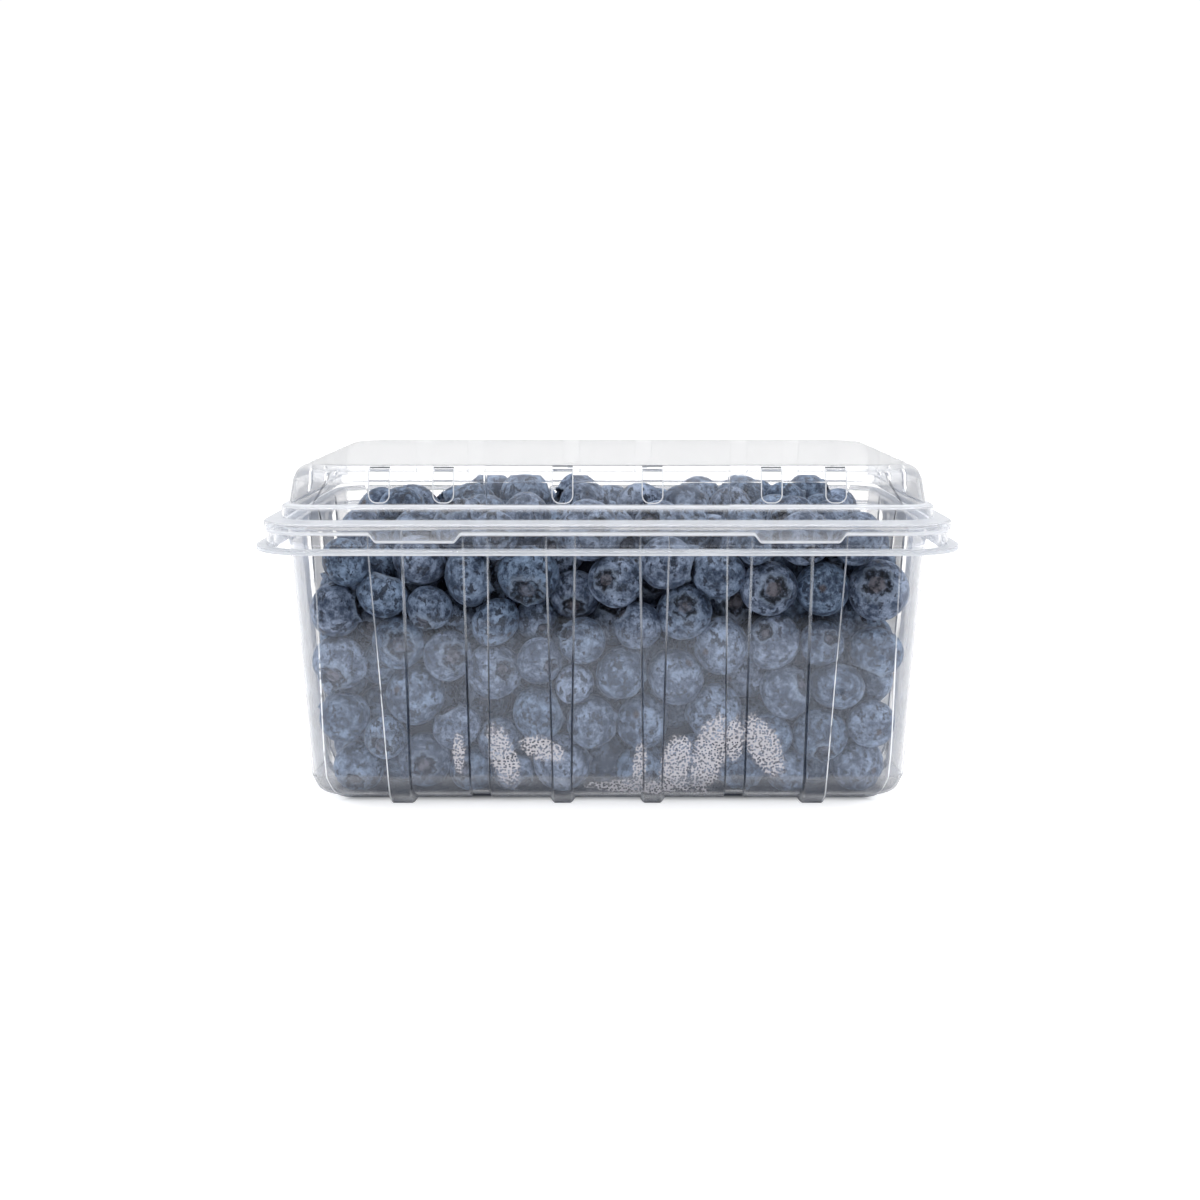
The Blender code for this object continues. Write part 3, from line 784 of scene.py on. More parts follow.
def tub_levels():
    """Levels from the middle of the base out to the flange's edge, with their fillets."""
    belly_inset = (BASE_INSET + BEVEL_INSET) / 2 - BEVEL_BELLY
    belly_height = (BASE_HEIGHT + BEVEL_HEIGHT) / 2 - BEVEL_BELLY
    foot_inset = BASE_INSET + FOOT_LENGTH
    return [
        ((foot_inset + 3 * FOOT_FLANK, BASE_HEIGHT), 0.0, (0, 0, 0, 0, 0, 0, 0, 1)),
        ((foot_inset + FOOT_FLANK, BASE_HEIGHT), 0.0, (0, 0, 0, 0, 0, 0.3, 0, 1)),
        ((foot_inset, BASE_HEIGHT), 0.0, (0.3, 0.8, 0, 0, 0, 0.5, 0, 1)),
        ((foot_inset - FOOT_FLANK, BASE_HEIGHT), 0.0, (0.5, 1, 0.2, 0, 0, 0.6, 0, 1)),
        ((BASE_INSET + 1.2 * MM, BASE_HEIGHT), 0.0, (0.9, 1, 1, 0, 0, 0.9, 0, 1)),
        ((BASE_INSET, BASE_HEIGHT), 0.9 * MM, (1, 1, 1, 0.3, 0, 0.9, 0, 1)),
        ((BASE_INSET - 0.6 * MM, BASE_HEIGHT + 0.7 * MM), 0.0, (1, 0.9, 0.8, 0.4, 0, 0.55, 0, 0.99)),
        ((belly_inset, belly_height), 6.0 * MM, (1, 0.25, 0.25, 0.5, 0, 0.40, 0, 0.95)),
        ((BEVEL_INSET, BEVEL_HEIGHT), 0.7 * MM, (1, 0, 0, 1, 0.12, 0.25, 0, 0.9)),
        ((wall_inset(9.5 * MM), 9.5 * MM), 0.0, (1, 0, 0, 1, 0, 0, 0, 0.89)),
        ((wall_inset(38 * MM), 38 * MM), 0.0, (1, 0, 0, 1, 0, 0, 0, 0.51)),
        ((wall_inset(50 * MM), 50 * MM), 0.0, (1, 0, 0, 0.25, 0, 0, 0.20, 0.33)),
        ((wall_inset(60 * MM), 60 * MM), 0.0, (1, 0, 0, 0.10, 0, 0, 0.26, 0.17)),
        ((WALL_TOP_INSET, FLANGE_HEIGHT), 1.0 * MM, (1, 0, 0, 0, 0, 0, 0.15, 0)),
        ((RIM_INNER_INSET, RIM_HEIGHT), 1.2 * MM, (0, 0, 0, 0, 0, 0, 0, 0)),
        ((RIM_OUTER_INSET, RIM_HEIGHT), 1.2 * MM, (0, 0, 0, 0, 0, 0, 0, 0)),
        ((RIM_OUTER_INSET - SHEET, FLANGE_HEIGHT + 0.8 * MM), 0.0, (0, 0, 0, 0, 0, 0, 0, 0)),
        ((RIM_OUTER_INSET - SHEET, FLANGE_HEIGHT), 0.5 * MM, (0, 0, 0, 0, 0.2, 0, 0, 0)),
        ((0.0, FLANGE_HEIGHT), 0.0, (0, 0, 0, 0, 0.6, 0, 0, 0)),
    ]


def hinge_bead():
    """The folded web of the living hinge, a round bead along the flange's back edge."""
    sides = 20
    rings = []
    for end in (-HINGE_LENGTH / 2, HINGE_LENGTH / 2):
        angles = np.arange(sides) * math.tau / sides
        rings.append(np.stack([np.full(sides, end), HINGE_Y + HINGE_RADIUS * np.cos(angles),
                               HINGE_Z + HINGE_RADIUS * np.sin(angles)], axis=1))
    return add_piece("hinge_bead", loft(rings), None)


def combine(piece, tool, operation):
    join = piece.modifiers.new("combine", "BOOLEAN")
    join.operation = operation
    join.object = tool
    join.solver = "EXACT"
    bake_modifiers(piece)
    bpy.data.objects.remove(tool, do_unlink=True)


def make_tub(plastic):
    tub = formed_sheet("tub_clear", tub_outline(), tub_levels(), 6.0 * MM, True)
    tub.data.materials.append(plastic)
    combine(tub, hinge_bead(), "UNION")
    smooth(tub)
    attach(tub, "base")
    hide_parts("tub")
    return tub


# ---- lid -------------------------------------------------------------------------------------
LID_RELIEFS = ("panel", "tab", "trim", "lines", "milky", "round", "even")


def lid_side(is_front, limit):
    """Stations along a long side of the lid: the raised panel, the tabs, the trimmed lip."""
    edges = [
        (PANEL_HALF_WIDTH, PANEL_EDGE, "panel", 1.0, 0.0),
        (TAB_INNER, TAB_SLOPE, "tab", 0.0, 1.0),
        (TAB_OUTER, TAB_SLOPE, "tab", 1.0, 0.0),
    ]
    heights = {"panel": 1.0, "tab": 0.0}
    half = [(where, dict(heights)) for where in np.linspace(0, PANEL_HALF_WIDTH - 1.5 * MM, 6)]
    for middle, width, name, before, after in edges:
        for step in range(FLANK_STEPS + 1):
            share = step / FLANK_STEPS
            heights[name] = before + (after - before) * ease(share)
            half.append((middle + (share - 0.5) * width, dict(heights)))
        half.append((middle + width / 2 + 1.5 * MM, dict(heights)))
    half.append((limit, dict(heights)))
    mirrored = [(-where, levels) for where, levels in half[:0:-1]]
    stations = []
    for where, levels in mirrored + half:
        shifts = {"panel": (PANEL_RAISE * levels["panel"], 0, 0)}
        if is_front:
            shifts["tab"] = (0, -TAB_DROP * levels["tab"], 0)
        else:
            shifts["trim"] = (-BACK_LIP_TRIM, 0, 0)
        stations.append((where, shifts))
    return stations


def lid_levels():
    """Levels from the flat of the top panel down and out to the lip, with their fillets."""
    wall_top_inset = LID_WALL_INSET + LID_WALL_DRAFT
    middle = TOP_FILLET * (1 - math.sqrt(0.5))
    fillet_inset = wall_top_inset + TOP_FILLET
    ledge, shoulder = LEDGE_HEIGHT, SHOULDER_HEIGHT
    # Ledges are painted pale as painted light on their bends; walls and top keep a faint haze.
    plain = (0, 0, 0, 0, 0.03, 0, 0)
    painted_pale_ledge = (0, 0, 0, 0, 0.35, 0, 0)
    return [
        ((fillet_inset + 3 * PANEL_EDGE, TOP_HEIGHT), 0.0, (0, 0, 0, 0, 0.06, 1, 0)),
        ((fillet_inset + PANEL_EDGE, TOP_HEIGHT), 0.0, (0, 0, 0, 0, 0.06, 1, 0)),
        ((fillet_inset, TOP_HEIGHT), 0.8 * MM, (1, 0, 0, 0, 0.06, 1, 0)),
        ((wall_top_inset + middle, TOP_HEIGHT - middle), 2.5 * MM, (1, 0, 0, 0.3, 0.03, 1, 0)),
        ((wall_top_inset, TOP_HEIGHT - TOP_FILLET), 0.8 * MM, (1, 0, 0, 1, 0.03, 1, 0)),
        ((LID_WALL_INSET + 0.1 * MM, ledge + 1.0 * MM), 0.0, (1, 0, 0, 1, 0.03, 0.2, 0)),
        ((LID_WALL_INSET, ledge + SHEET), 0.4 * MM, (1, 0, 0, 0, 0.6, 0, 0)),
        ((LOWER_WALL_INSET, ledge), 0.6 * MM, painted_pale_ledge),
        ((LOWER_WALL_INSET, ledge - 1.1 * MM), 0.0, plain),
        ((LOWER_WALL_INSET, LOWER_WALL_HEIGHT + 0.5 * MM), 0.0, plain),
        ((LOWER_WALL_INSET, LOWER_WALL_HEIGHT), 0.4 * MM, painted_pale_ledge),
        ((SHOULDER_INSET, SHOULDER_TOP), 0.6 * MM, painted_pale_ledge),
        ((SHOULDER_INSET, SHOULDER_TOP - 0.9 * MM), 0.0, plain),
        ((SHOULDER_INSET, shoulder + 0.3 * MM), 0.0, (0, 1, 0, 0, 0.2, 0, 0)),
        ((SHOULDER_INSET, shoulder), 0.3 * MM, (0, 1, 0, 0, 0.9, 0, 0)),
        ((SKIRT_INSET, shoulder - SHEET), 0.3 * MM, (0, 1, 0, 0, 0.9, 0, 0)),
        ((SKIRT_INSET, shoulder - SHEET - 0.5 * MM), 0.0, (0, 0.8, 0, 0, 0, 0, 0)),
        ((SKIRT_INSET, LIP_HEIGHT + 0.8 * MM), 0.0, (0, 0.05, 0, 0, 0, 0, 0)),
        ((SKIRT_INSET, LIP_HEIGHT), 0.5 * MM, (0, 0, 0, 0, 0.2, 0, 0)),
        ((0.0, LIP_HEIGHT), 0.0, (0, 0, 1, 0, 0.3, 0, 0)),
    ]


def vent_outline():
    """Points (across, height) round one vent, upright with rounded lower corners."""
    half = VENT_WIDTH / 2
    points = []
    for side, start in ((-1, 180), (1, 270)):
        for angle in np.radians(np.linspace(start, start + 90, 8)):
            across = side * (half - VENT_CORNER) + VENT_CORNER * math.cos(angle)
            points.append((across, VENT_BOTTOM + VENT_CORNER * (1 + math.sin(angle))))
    above = PACK_HEIGHT + 5 * MM
    return points + [(half, above), (-half, above)]


def vent_cutter():
    shape = bmesh.new()
    outline = vent_outline()
    deep = VENT_TOP_INSET
    slots = []
    for place in LONG_VENTS:
        for x in (-place, place):
            for facing in (-1, 1):
                ends = (facing * (HALF_DEPTH - deep) + PACK_Y, facing * HALF_DEPTH + PACK_Y)
                slots.append([[(x + across, end, height) for across, height in outline]
                              for end in ends])
    for y in SHORT_VENTS:
        for facing in (-1, 1):
            ends = (facing * (HALF_LENGTH - deep), facing * HALF_LENGTH)
            slots.append([[(end, y + PACK_Y + across, height) for across, height in outline]
                          for end in ends])
    for rings in slots:
        slot = loft(rings)
        mesh = bpy.data.meshes.new("slot")
        slot.to_mesh(mesh)
        slot.free()
        shape.from_mesh(mesh)
        bpy.data.meshes.remove(mesh)
    return add_piece("vent_cutter", shape, None)


def bead_along(points, radius, sides=6):
    """A thin round bead along a line of points."""
    points = np.array(points)
    along = np.gradient(points, axis=0)
    along /= np.linalg.norm(along, axis=1)[:, None]
    across = np.array([1.0, 0.3, 0.2])
    rings = []
    for point, ahead in zip(points, along):
        across = across - (across @ ahead) * ahead
        across /= np.linalg.norm(across)
        upward = np.cross(ahead, across)
        rings.append([point + radius * (math.cos(angle) * across + math.sin(angle) * upward)
                      for angle in np.arange(sides) * math.tau / sides])
    return loft(rings)


def vent_rim_line():
    """Points (across, inset, height) down one side of a vent, round below and up again."""
    path, shares = rounded_path(lid_levels(), 1.0 * MM)
    outer = sheet_faces(path)[1]
    keep = (outer[:, 1] > VENT_BOTTOM - 0.6 * MM) & (outer[:, 1] < PACK_HEIGHT - 0.5 * MM)
    heights, insets = outer[keep, 1][::-1], outer[keep, 0][::-1]
    half = VENT_WIDTH / 2
    lower = [point for point in vent_outline() if point[1] <= VENT_BOTTOM + VENT_CORNER]
    upper = [height for height in heights if height > VENT_BOTTOM + VENT_CORNER]
    line = [(-half, height) for height in upper[::-1]] + lower
    line += [(half, height) for height in upper]
    return [(across, np.interp(height, heights, insets), height) for across, height in line]


def make_vent_rims(plastic):
    """The sheet is rolled to a thin bead round each vent, painted pale as painted light on the bend."""
    line = vent_rim_line()
    lines = []
    for facing in (-1, 1):
        for place in LONG_VENTS:
            stand = PANEL_RAISE if place < PANEL_HALF_WIDTH else 0.0
            for x in (-place, place):
                lines.append([(x + across, facing * (HALF_DEPTH - inset + stand) + PACK_Y, height)
                              for across, inset, height in line])
        for y in SHORT_VENTS:
            lines.append([(facing * (HALF_LENGTH - inset), y + PACK_Y + across, height)
                          for across, inset, height in line])
    shape = bmesh.new()
    for points in lines:
        bead = bead_along(points, VENT_BEAD)
        mesh = bpy.data.meshes.new("bead")
        bead.to_mesh(mesh)
        bead.free()
        shape.from_mesh(mesh)
        bpy.data.meshes.remove(mesh)
    rims = add_piece("vent_rims", shape, plastic)
    # The beads are painted pale: painted light on the bend.
    milky = rims.data.attributes.new("milky", "FLOAT", "POINT")
    milky.data.foreach_set("value", np.full(len(rims.data.vertices), 0.6, dtype=np.float32))
    smooth(rims, 60.0)
    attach(rims, "lid")
    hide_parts("lid")
    return rims


def make_lid(plastic):
    limit = HALF_LENGTH - FLANGE_CORNER
    end_limit = HALF_DEPTH - 17.5 * MM - LID_TOP_CORNER - 0.5 * MM
    end = [(where, {}) for where in np.linspace(-end_limit, end_limit, 9)]
    edge = min(limit, HALF_LENGTH - 17.5 * MM - LID_TOP_CORNER)
    # The lid's corner creases carry painted shade.
    outline = Outline(LID_RELIEFS, lid_side(True, edge), end, lid_side(False, edge),
                      {"shade": 0.6})
    lid = formed_sheet("lid_clear", outline, lid_levels(), 6.0 * MM, False)
    lid.data.materials.append(plastic)
    combine(lid, vent_cutter(), "DIFFERENCE")
    smooth(lid)
    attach(lid, "lid")
    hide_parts("lid")
    return lid


# ---- how the berries settle ------------------------------------------------------------------
def inner_inset(height):
    """How far the pack's inner wall is set in at a height, with clearance for the fruit."""
    heights = (BEVEL_HEIGHT, FLANGE_HEIGHT - 6 * MM, FLANGE_HEIGHT + 2 * MM, PACK_HEIGHT)
    insets = (BEVEL_INSET, WALL_TOP_INSET + 0.3 * MM, LID_WALL_INSET + 0.5 * MM,
              LID_WALL_INSET + 1.0 * MM)
    return np.interp(height, heights, insets) + SHEET / 2 + CLEARANCE


def groove_push(place, grooves):
    """How far a groove pushes in what lies against the wall at a place along it."""
    push = np.zeros_like(place)
    for middle, width in grooves:
        beyond = np.abs(place - middle) - width / 2
        push = np.maximum(push, GROOVE_DEPTH * np.clip(1 - beyond / (3.4 * MM), 0, 1))
    return push


def keep_inside(centre, radius):
    """Moves berries back inside the walls, the bevel, the base and the heap's own outline."""
    x, y, z = centre.T
    slope_z = BEVEL_INSET - BASE_INSET
    slope_x = BEVEL_HEIGHT - BASE_HEIGHT
    slope = math.hypot(slope_x, slope_z)
    floor = BASE_HEIGHT + SHEET / 2 + CLEARANCE
    above_bevel = (z - floor) * -slope_z / slope
    bevel = BASE_INSET + (radius + CLEARANCE - above_bevel) * slope / slope_x
    wall = inner_inset(z) + radius
    push_y = groove_push(x, LONG_GROOVES)
    push_x = groove_push(y, SHORT_GROOVES)
    limit_x = HALF_LENGTH - np.maximum(wall + push_x, bevel)
    limit_y = HALF_DEPTH - np.maximum(wall + push_y, bevel)
    round_off = np.maximum(FLANGE_CORNER - inner_inset(z) - radius, 0)
    near_x = np.clip(x, round_off - limit_x, limit_x - round_off)
    near_y = np.clip(y, round_off - limit_y, limit_y - round_off)
    away = np.hypot(x - near_x, y - near_y)
    share = np.where(away > round_off, round_off / np.maximum(away, 1e-9), 1.0)
    top = HEAP_TOP - HEAP_END_SLOPE * np.maximum(np.abs(x) - HEAP_END, 0) - radius
    return np.stack([near_x + (x - near_x) * share, near_y + (y - near_y) * share,
                     np.clip(z, floor + radius, top)], axis=1)


def near_pairs(centre, radius):
    """Pairs of berries close enough to meet before the next refresh."""
    square = ((centre[:, None] - centre[None, :]) ** 2).sum(axis=2)
    reach = radius[:, None] + radius[None, :] + PAIR_MARGIN
    return np.nonzero(np.triu(square < reach ** 2, k=1))


def settle_berries():
    """Centres (about the pack's own middle) and radii of the berries, settled in the tub."""
    rng = np.random.default_rng(BERRY_SEED)
    radius = np.clip(rng.normal(BERRY_RADIUS, BERRY_SPREAD, BERRY_COUNT),
                     BERRY_SMALLEST, BERRY_LARGEST)
    room = np.array([HALF_LENGTH - START_MARGIN, HALF_DEPTH - START_MARGIN, HEAP_TOP / 2])
    even_steps = EVEN_RATIO ** -np.arange(1.0, 4.0)
    spots = (0.5 + np.outer(np.arange(BERRY_COUNT), even_steps)) % 1.0
    centre = (2 * spots - 1) * room + np.array([0.0, 0.0, HEAP_TOP / 2])
    for step in range(SETTLE_STEPS):
        if step % PAIR_REFRESH == 0:
            first, second = near_pairs(centre, radius)
        centre[:, 2] -= SETTLE_FALL * max(1 - step / SETTLE_FALLING, 0)
        apart = centre[first] - centre[second]
        distance = np.maximum(np.sqrt((apart ** 2).sum(axis=1)), 1e-9)
        overlap = np.maximum(radius[first] + radius[second] - distance, 0)
        push = apart * (SETTLE_PUSH * overlap / distance)[:, None]
        for axis in range(3):
            centre[:, axis] += np.bincount(first, push[:, axis], BERRY_COUNT)
            centre[:, axis] -= np.bincount(second, push[:, axis], BERRY_COUNT)
        centre = keep_inside(centre, radius)
    return centre, radius


def depth_in_heap(centre):
    """How far each centre lies inside the heap's outline."""
    x, y, z = centre.T
    inset = inner_inset(z)
    from_walls = np.minimum(HALF_LENGTH - inset - np.abs(x), HALF_DEPTH - inset - np.abs(y))
    top = HEAP_TOP - HEAP_END_SLOPE * np.maximum(np.abs(x) - HEAP_END, 0)
    return np.minimum(np.minimum(from_walls, top - z), z - BASE_HEIGHT)


def nearest_wall(centre):
    """Directions from each centre straight to the nearest wall."""
    x, y, z = centre.T
    to_side = HALF_LENGTH - np.abs(x) < HALF_DEPTH - np.abs(y)
    return np.stack([np.where(to_side, np.sign(x), 0.0), np.where(to_side, 0.0, np.sign(y)),
                     np.zeros(len(x))], axis=1)


# ---- berries ---------------------------------------------------------------------------------
CROWN_SHOWING = 0.30             # share of the berries whose crowns are turned to the wall
SIDES = 30                       # points round a berry

# kind: (height for its width, crown's reach, rim's height, lobes, how pointed, share of all)
BERRY_KINDS = {
    "berries_open": (0.86, 0.60, 0.060, 5, 0.09, 0.30),
    "berries_star": (0.84, 0.52, 0.070, 6, 0.11, 0.25),
    "berries_shut": (0.91, 0.40, 0.095, 5, 0.08, 0.25),
    "berries_worn": (0.95, 0.47, 0.045, 7, 0.07, 0.20),
}


# The gap mask marks where the crown's groove is painted dark as shade.
CROWN_PROFILE = (               # share of the reach, height, then the masks disc, gap and rim
    (0.00, -0.095, 1.0, 0.0, 0.0), (0.25, -0.100, 1.0, 0.0, 0.0), (0.45, -0.110, 1.0, 0.0, 0.0),
    (0.55, -0.140, 0.5, 0.7, 0.0), (0.66, -0.130, 0.0, 1.0, 0.0), (0.74, -0.020, 0.0, 1.0, 0.0),
    (0.80, 1.0, 0.0, 0.6, 0.6), (0.88, 1.1, 0.0, 0.0, 1.0), (0.97, 0.6, 0.0, 0.0, 0.9),
    (1.08, 0.12, 0.0, 0.0, 0.4), (1.25, 0.0, 0.0, 0.0, 0.0))


def crown_rows(reach, rim_height, lobes, point, angles):
    """Rows across the crown, from its middle outwards: (tilt, radius, masks)."""
    star = np.cos(lobes * angles)
    ragged = 0.55 * np.cos((2 * lobes + 1) * angles + 1.0) + 0.45 * np.cos(3 * angles + 2.0)
    ragged += 0.5 * np.cos((3 * lobes + 2) * angles)
    rows = []
    for share, height, disc, gap, rim in CROWN_PROFILE:
        lift = np.full(SIDES, height)
        if height > 0:
            lift = height * rim_height * (1 + 0.5 * star + 0.4 * ragged)
        pull = point * min(share / 0.7, 1.0) * (1.0 if share < 1.1 else 0.3)
        if share < 0.5:
            pull *= 0.4
        tilt = share * reach * (1 + pull * (star + 0.7 * ragged))
        rows.append((tilt, 1 + lift, (disc, gap, rim, 0.0)))
    return rows


def berry_mesh(name, squat, reach, rim_height, lobes, point):
    """One berry of unit size, its crown at the top and its stem scar underneath."""
    angles = np.arange(SIDES) * math.tau / SIDES
    even = np.ones(SIDES)
    rows = crown_rows(reach, rim_height, lobes, point, angles)
    rows += [(even * tilt, even, (0.0, 0.0, 0.0, 0.0))
             for tilt in np.linspace(1.25 * reach, math.pi - 0.30, 12)[1:]]
    rows += [(even * (math.pi - tilt), even - dip, (0.0, 0.0, 0.0, scar))
             for tilt, dip, scar in ((0.18, 0.01, 0.0), (0.11, 0.03, 0.6), (0.07, 0.07, 1.0),
                                     (0.0, 0.08, 0.7))]
    wide = squat ** (-1 / 3)
    shape = bmesh.new()
    masks = []
    loops = []
    for number, (tilts, radii, strengths) in enumerate(rows):
        loop = []
        for index in range(1 if number in (0, len(rows) - 1) else SIDES):
            across = wide * radii[index] * math.sin(tilts[index])
            height = wide * squat * radii[index] * math.cos(tilts[index])
            loop.append(shape.verts.new((across * math.cos(angles[index]),
                                         across * math.sin(angles[index]), height)))
            masks.append(strengths)
        loops.append(loop)
    for upper, lower in zip(loops, loops[1:]):
        for index in range(SIDES):
            following = (index + 1) % SIDES
            corners = [upper[index % len(upper)], lower[index % len(lower)],
                       lower[following % len(lower)], upper[following % len(upper)]]
            shape.faces.new(list(dict.fromkeys(corners)))
    bmesh.ops.recalc_face_normals(shape, faces=shape.faces)
    mesh = bpy.data.meshes.new(name)
    shape.to_mesh(mesh)
    shape.free()
    for column, mask in enumerate(("disc", "gap", "rim", "scar")):
        layer = mesh.attributes.new(mask, "FLOAT", "POINT")
        layer.data.foreach_set("value", [strengths[column] for strengths in masks])
    return mesh


class Growth:
    """A Geometry Nodes tree under construction."""

    def __init__(self, name):
        self.tree = bpy.data.node_groups.new(name, "GeometryNodeTree")
        self.tree.interface.new_socket("Geometry", in_out="INPUT",
                                       socket_type="NodeSocketGeometry")
        self.tree.interface.new_socket("Geometry", in_out="OUTPUT",
                                       socket_type="NodeSocketGeometry")
        self.start = self.tree.nodes.new("NodeGroupInput")
        self.end = self.tree.nodes.new("NodeGroupOutput")

    def size(self, name, kind):
        self.tree.interface.new_socket(name, in_out="INPUT", socket_type=kind)
        return self.start.outputs[name]

    def add(self, kind, settings=None, values=None, output=0):
        node = self.tree.nodes.new(kind)
        for name, setting in (settings or {}).items():
            setattr(node, name, setting)
        for name, value in (values or {}).items():
            if isinstance(value, bpy.types.NodeSocket):
                self.tree.links.new(value, node.inputs[name])
            else:
                node.inputs[name].default_value = value
        return node.outputs[output]

    def attribute(self, name, kind):
        return self.add("GeometryNodeInputNamedAttribute", {"data_type": kind}, {"Name": name})

    def close(self, geometry):
        self.tree.links.new(geometry, self.end.inputs["Geometry"])
        return self.tree

    def fit(self, piece, **sizes):
        """Puts the tree on a piece with these sizes, and leaves a plain mesh."""
        modifier = piece.modifiers.new(self.tree.name, "NODES")
        modifier.node_group = self.tree
        for item in self.tree.interface.items_tree:
            if item.in_out == "INPUT" and item.name.replace(" ", "_") in sizes:
                modifier[item.identifier] = sizes[item.name.replace(" ", "_")]
        bake_modifiers(piece)


def berry_growth():
    """Sets a berry on each point, turned and sized by the point, then makes each uneven."""
    growth = Growth("scatter_berries")
    points = growth.start.outputs["Geometry"]
    berry = growth.size("Berry", "NodeSocketObject")
    unevenness = growth.size("Unevenness", "NodeSocketFloat")
    lump_size = growth.size("Lump size", "NodeSocketFloat")
    skin = growth.size("Skin", "NodeSocketMaterial")
    one_berry = growth.add("GeometryNodeObjectInfo", None, {"Object": berry}, "Geometry")
    turn = growth.attribute("turn", "FLOAT_VECTOR")
    rotation = growth.add("FunctionNodeEulerToRotation", None, {0: turn})
    scattered = growth.add("GeometryNodeInstanceOnPoints", None, {
        "Points": points, "Instance": one_berry, "Rotation": rotation,
        "Scale": growth.attribute("size", "FLOAT_VECTOR")})
    real = growth.add("GeometryNodeRealizeInstances", None, {"Geometry": scattered})
    place = growth.add("GeometryNodeInputPosition")
    frequency = growth.add("ShaderNodeMath", {"operation": "DIVIDE"}, {0: 1.0, 1: lump_size})
    lumps = growth.add("ShaderNodeTexNoise", {"noise_dimensions": "3D"}, {
        "Vector": place, "Scale": frequency, "Detail": 1.0})
    swing = growth.add("ShaderNodeMath", {"operation": "SUBTRACT"}, {0: lumps, 1: 0.5})
    reach = growth.add("ShaderNodeMath", {"operation": "MULTIPLY"}, {0: swing, 1: unevenness})
    outward = growth.add("GeometryNodeInputNormal")
    offset = growth.add("ShaderNodeVectorMath", {"operation": "SCALE"},
                        {0: outward, "Scale": reach})
    uneven = growth.add("GeometryNodeSetPosition", None, {"Geometry": real, "Offset": offset})
    smoothed = growth.add("GeometryNodeSetShadeSmooth", None, {"Geometry": uneven})
    growth.close(growth.add("GeometryNodeSetMaterial", None,
                            {"Geometry": smoothed, "Material": skin}))
    return growth


def points_mesh(name, places, values):
    mesh = bpy.data.meshes.new(name)
    mesh.from_pydata([tuple(place) for place in places], [], [])
    for key, array in values.items():
        kind = "FLOAT_VECTOR" if array.ndim == 2 else "FLOAT"
        layer = mesh.attributes.new(key, kind, "POINT")
        slot = "vector" if array.ndim == 2 else "value"
        layer.data.foreach_set(slot, array.astype(np.float32).ravel())
    return mesh


def make_berries(skin):
    """The berries near enough to the outside of the heap to show."""
    centre, radius = settle_berries()
    rng = np.random.default_rng(BERRY_SEED + 1)
    missing = (centre[:, 2] > THIN_ABOVE) & (rng.random(len(radius)) < THIN_SHARE)
    shown = (depth_in_heap(centre) < SHOWN_DEPTH) & ~missing
    centre, radius = centre[shown], radius[shown]
    centre[:, 0] *= END_GAP
    count = len(radius)
    axis = rng.normal(size=(count, 3))
    axis /= np.linalg.norm(axis, axis=1)[:, None]
    outward = nearest_wall(centre)
    showing = rng.random(count) < CROWN_SHOWING
    axis[showing] = 0.55 * axis[showing] + outward[showing]
    axis /= np.linalg.norm(axis, axis=1)[:, None]
    turn = np.stack([np.zeros(count), np.arccos(axis[:, 2]), np.arctan2(axis[:, 1], axis[:, 0])],
                    axis=1)
    size = radius[:, None] * rng.normal(1.0, 0.025, (count, 3))
    values = {
        "turn": turn,
        "size": size,
        "tone": rng.random(count),
        "wiped": rng.normal(0.0, 1.0, count),
    }
    lot = rng.random(count)
    growth = berry_growth()
    first = 0.0
    pieces = []
    for name, (squat, reach, rim_height, lobes, point, share) in BERRY_KINDS.items():
        chosen = (lot >= first) & (lot < first + share)
        first += share
        places = centre[chosen] + np.array([0.0, PACK_Y, 0.0])
        kept = {key: array[chosen] for key, array in values.items()}
        one = add_piece("one_berry", berry_mesh("one_berry", squat, reach, rim_height, lobes,
                                                point), skin)
        piece = add_piece(name, points_mesh(name, places, kept), None)
        growth.fit(piece, Berry=one, Unevenness=1.1 * MM, Lump_size=9.0 * MM, Skin=skin)
        bpy.data.objects.remove(one, do_unlink=True)
        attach(piece, "base")
        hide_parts("berries")
        pieces.append(piece)
    return pieces


def make_core(dark):
    """A dark block deep in the heap, painted shade where no light reaches."""
    core_outline = Outline(("even",), [(0.0, {})], [(0.0, {})], [(0.0, {})])
    levels = [
        (BASE_INSET + CORE_DEPTH / 2, BASE_HEIGHT + CORE_DEPTH * 0.6),
        (inner_inset(30 * MM) + CORE_DEPTH, 30 * MM),
        (inner_inset(60 * MM) + CORE_DEPTH, HEAP_TOP - CORE_DEPTH - 8 * MM),
        (inner_inset(60 * MM) + CORE_DEPTH + 8 * MM, HEAP_TOP - CORE_DEPTH),
    ]
    rings = [core_outline.ring(inset, height, (0.0,)) for inset, height in levels]
    core = add_piece("heap_core", loft(rings), dark)
    smooth(core)
    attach(core, "base")
    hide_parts("berries")
    return core


# ---- floor, light and camera -----------------------------------------------------------------
ROOM_SEEN = 1.3                  # the white behind the pack
ROOM_BEHIND = 1.12               # the same white as it shows in and through the plastic
ROOM_FRONT = 0.26                # light from the camera's side
ROOM_OVERHEAD = 2.15              # light from the ceiling


def flat_plate(name, half_x, half_y, height, material):
    shape = bmesh.new()
    corners = [(-half_x, -half_y), (half_x, -half_y), (half_x, half_y), (-half_x, half_y)]
    shape.faces.new([shape.verts.new((x, y, height)) for x, y in corners])
    return add_piece(name, shape, material)


def make_floor():
    floor = flat_plate("floor", 4.0, 4.0, -0.1 * MM, pale_floor())
    return floor


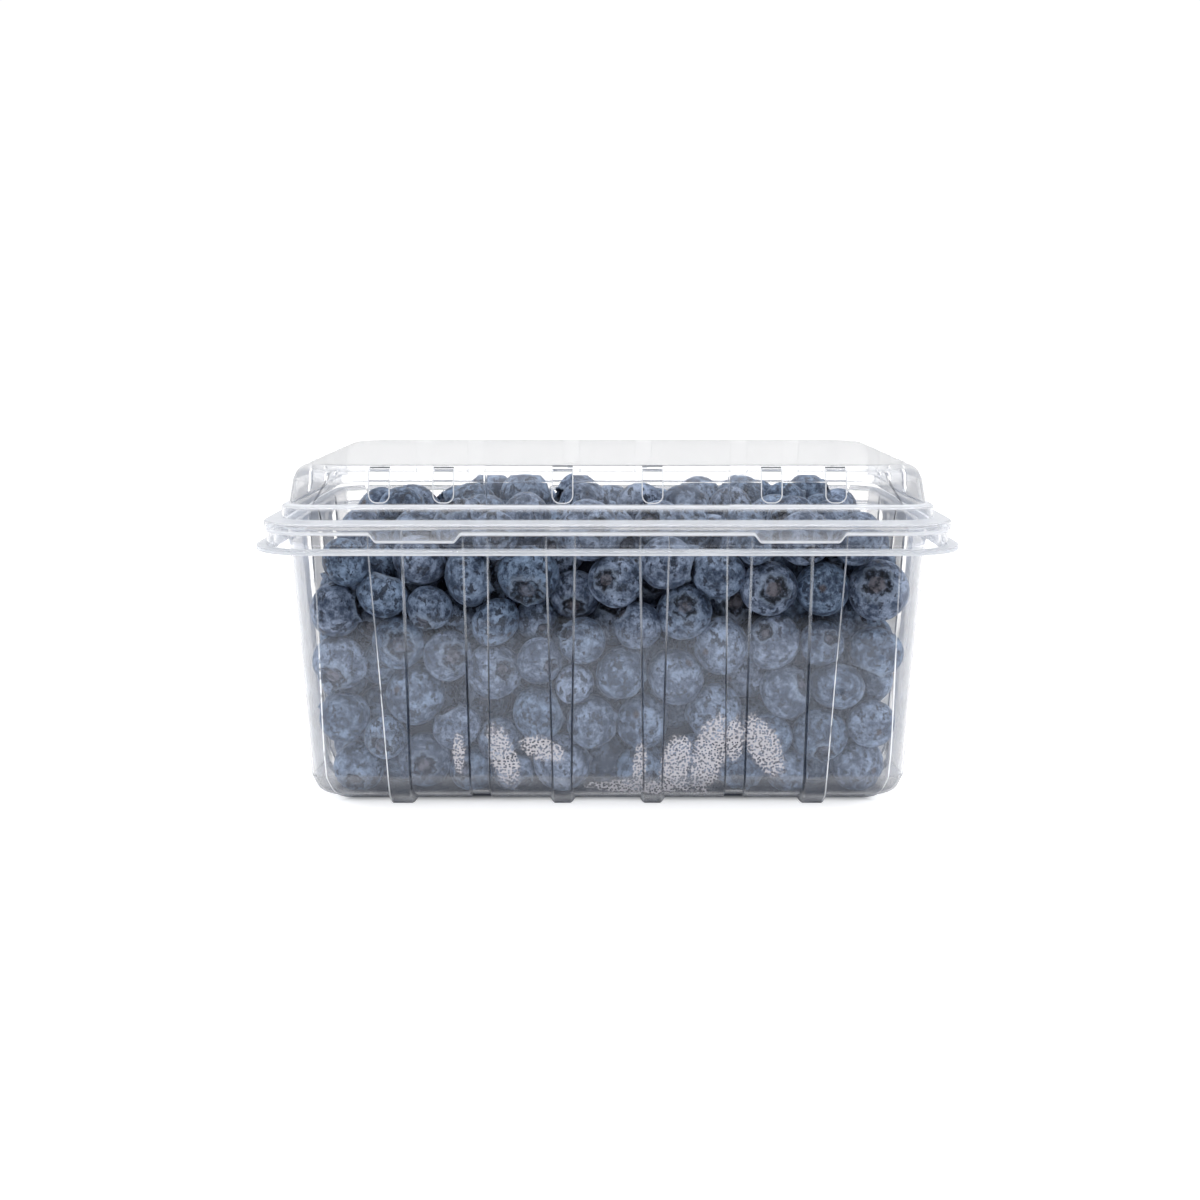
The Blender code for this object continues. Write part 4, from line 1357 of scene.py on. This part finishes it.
def make_flag(felt):
    """Dark cloth on the floor in front of the set, below the camera's view."""
    near, far, height = FLAG_NEAR - 20 * MM, 2.4, 0.5 * MM
    narrow, wide = 0.158, 0.75
    shape = bmesh.new()
    shape.faces.new([shape.verts.new((x, y, height)) for x, y in
                     ((-wide, -far), (wide, -far), (narrow, -near), (-narrow, -near))])
    flag = add_piece("flag", shape, felt)
    flag.visible_camera = False
    flag.visible_diffuse = False
    flag.visible_shadow = False
    return flag


def add_softbox(name, place, target, width, height, power, colour):
    lamp = bpy.data.lights.new(name, "AREA")
    lamp.shape = "RECTANGLE"
    lamp.size = width
    lamp.size_y = height
    lamp.energy = power
    lamp.color = colour
    box = bpy.data.objects.new(name, lamp)
    bpy.context.collection.objects.link(box)
    box.location = place
    box.rotation_mode = "QUATERNION"
    box.rotation_quaternion = (Vector(target) - Vector(place)).to_track_quat("-Z", "Y")
    return box


def make_light():
    """A white room, brighter overhead; mirrored rays find its walls dim."""
    world = bpy.data.worlds.new("white_room")
    bpy.context.scene.world = world
    world.use_nodes = True
    room = Finish.of_world(world)
    where = room.add("ShaderNodeTexCoord", None, None, "Generated")
    height = room.add("ShaderNodeSeparateXYZ", None, {0: where}, 2)
    towards_back = room.add("ShaderNodeSeparateXYZ", None, {0: where}, 1)
    seen = room.add("ShaderNodeLightPath", None, None, "Is Camera Ray")
    strength = height.ramp(0.1, 1.0) * (ROOM_OVERHEAD - ROOM_FRONT) + ROOM_FRONT
    behind = towards_back.ramp(-0.2, 0.5) * height.ramp(0.75, 0.35)
    strength = strength + (ROOM_BEHIND - strength) * behind
    strength = strength + (ROOM_SEEN - strength) * seen
    background = room.add("ShaderNodeBackground", None, {1: strength})
    room.close_world(background)


def make_camera():
    data = bpy.data.cameras.new("camera")
    data.sensor_width = 36.0
    data.lens = 46.2
    data.shift_x = -0.00625
    data.clip_start = 0.01
    data.clip_end = 20.0
    camera = bpy.data.objects.new("camera", data)
    bpy.context.collection.objects.link(camera)
    camera.location = (0.0, -0.4556, 0.1294)
    camera.rotation_euler = (math.radians(90 - 9.98), 0.0, 0.0)
    bpy.context.scene.camera = camera


def set_view():
    scene = bpy.context.scene
    scene.view_settings.view_transform = "Standard"
    scene.cycles.max_bounces = 20
    scene.cycles.transmission_bounces = 18
    scene.cycles.transparent_max_bounces = 32
    scene.cycles.glossy_bounces = 6
    scene.cycles.diffuse_bounces = 4


make_camera()
make_floor()
make_flag(black_felt())
make_light()
set_view()
PLASTIC = clear_plastic("clear_pet", False)
make_tub(clear_plastic("clear_pet_damp", True))
make_lid(PLASTIC)
make_vent_rims(PLASTIC)
make_berries(blueberry_skin())
make_core(heap_shade_finish())
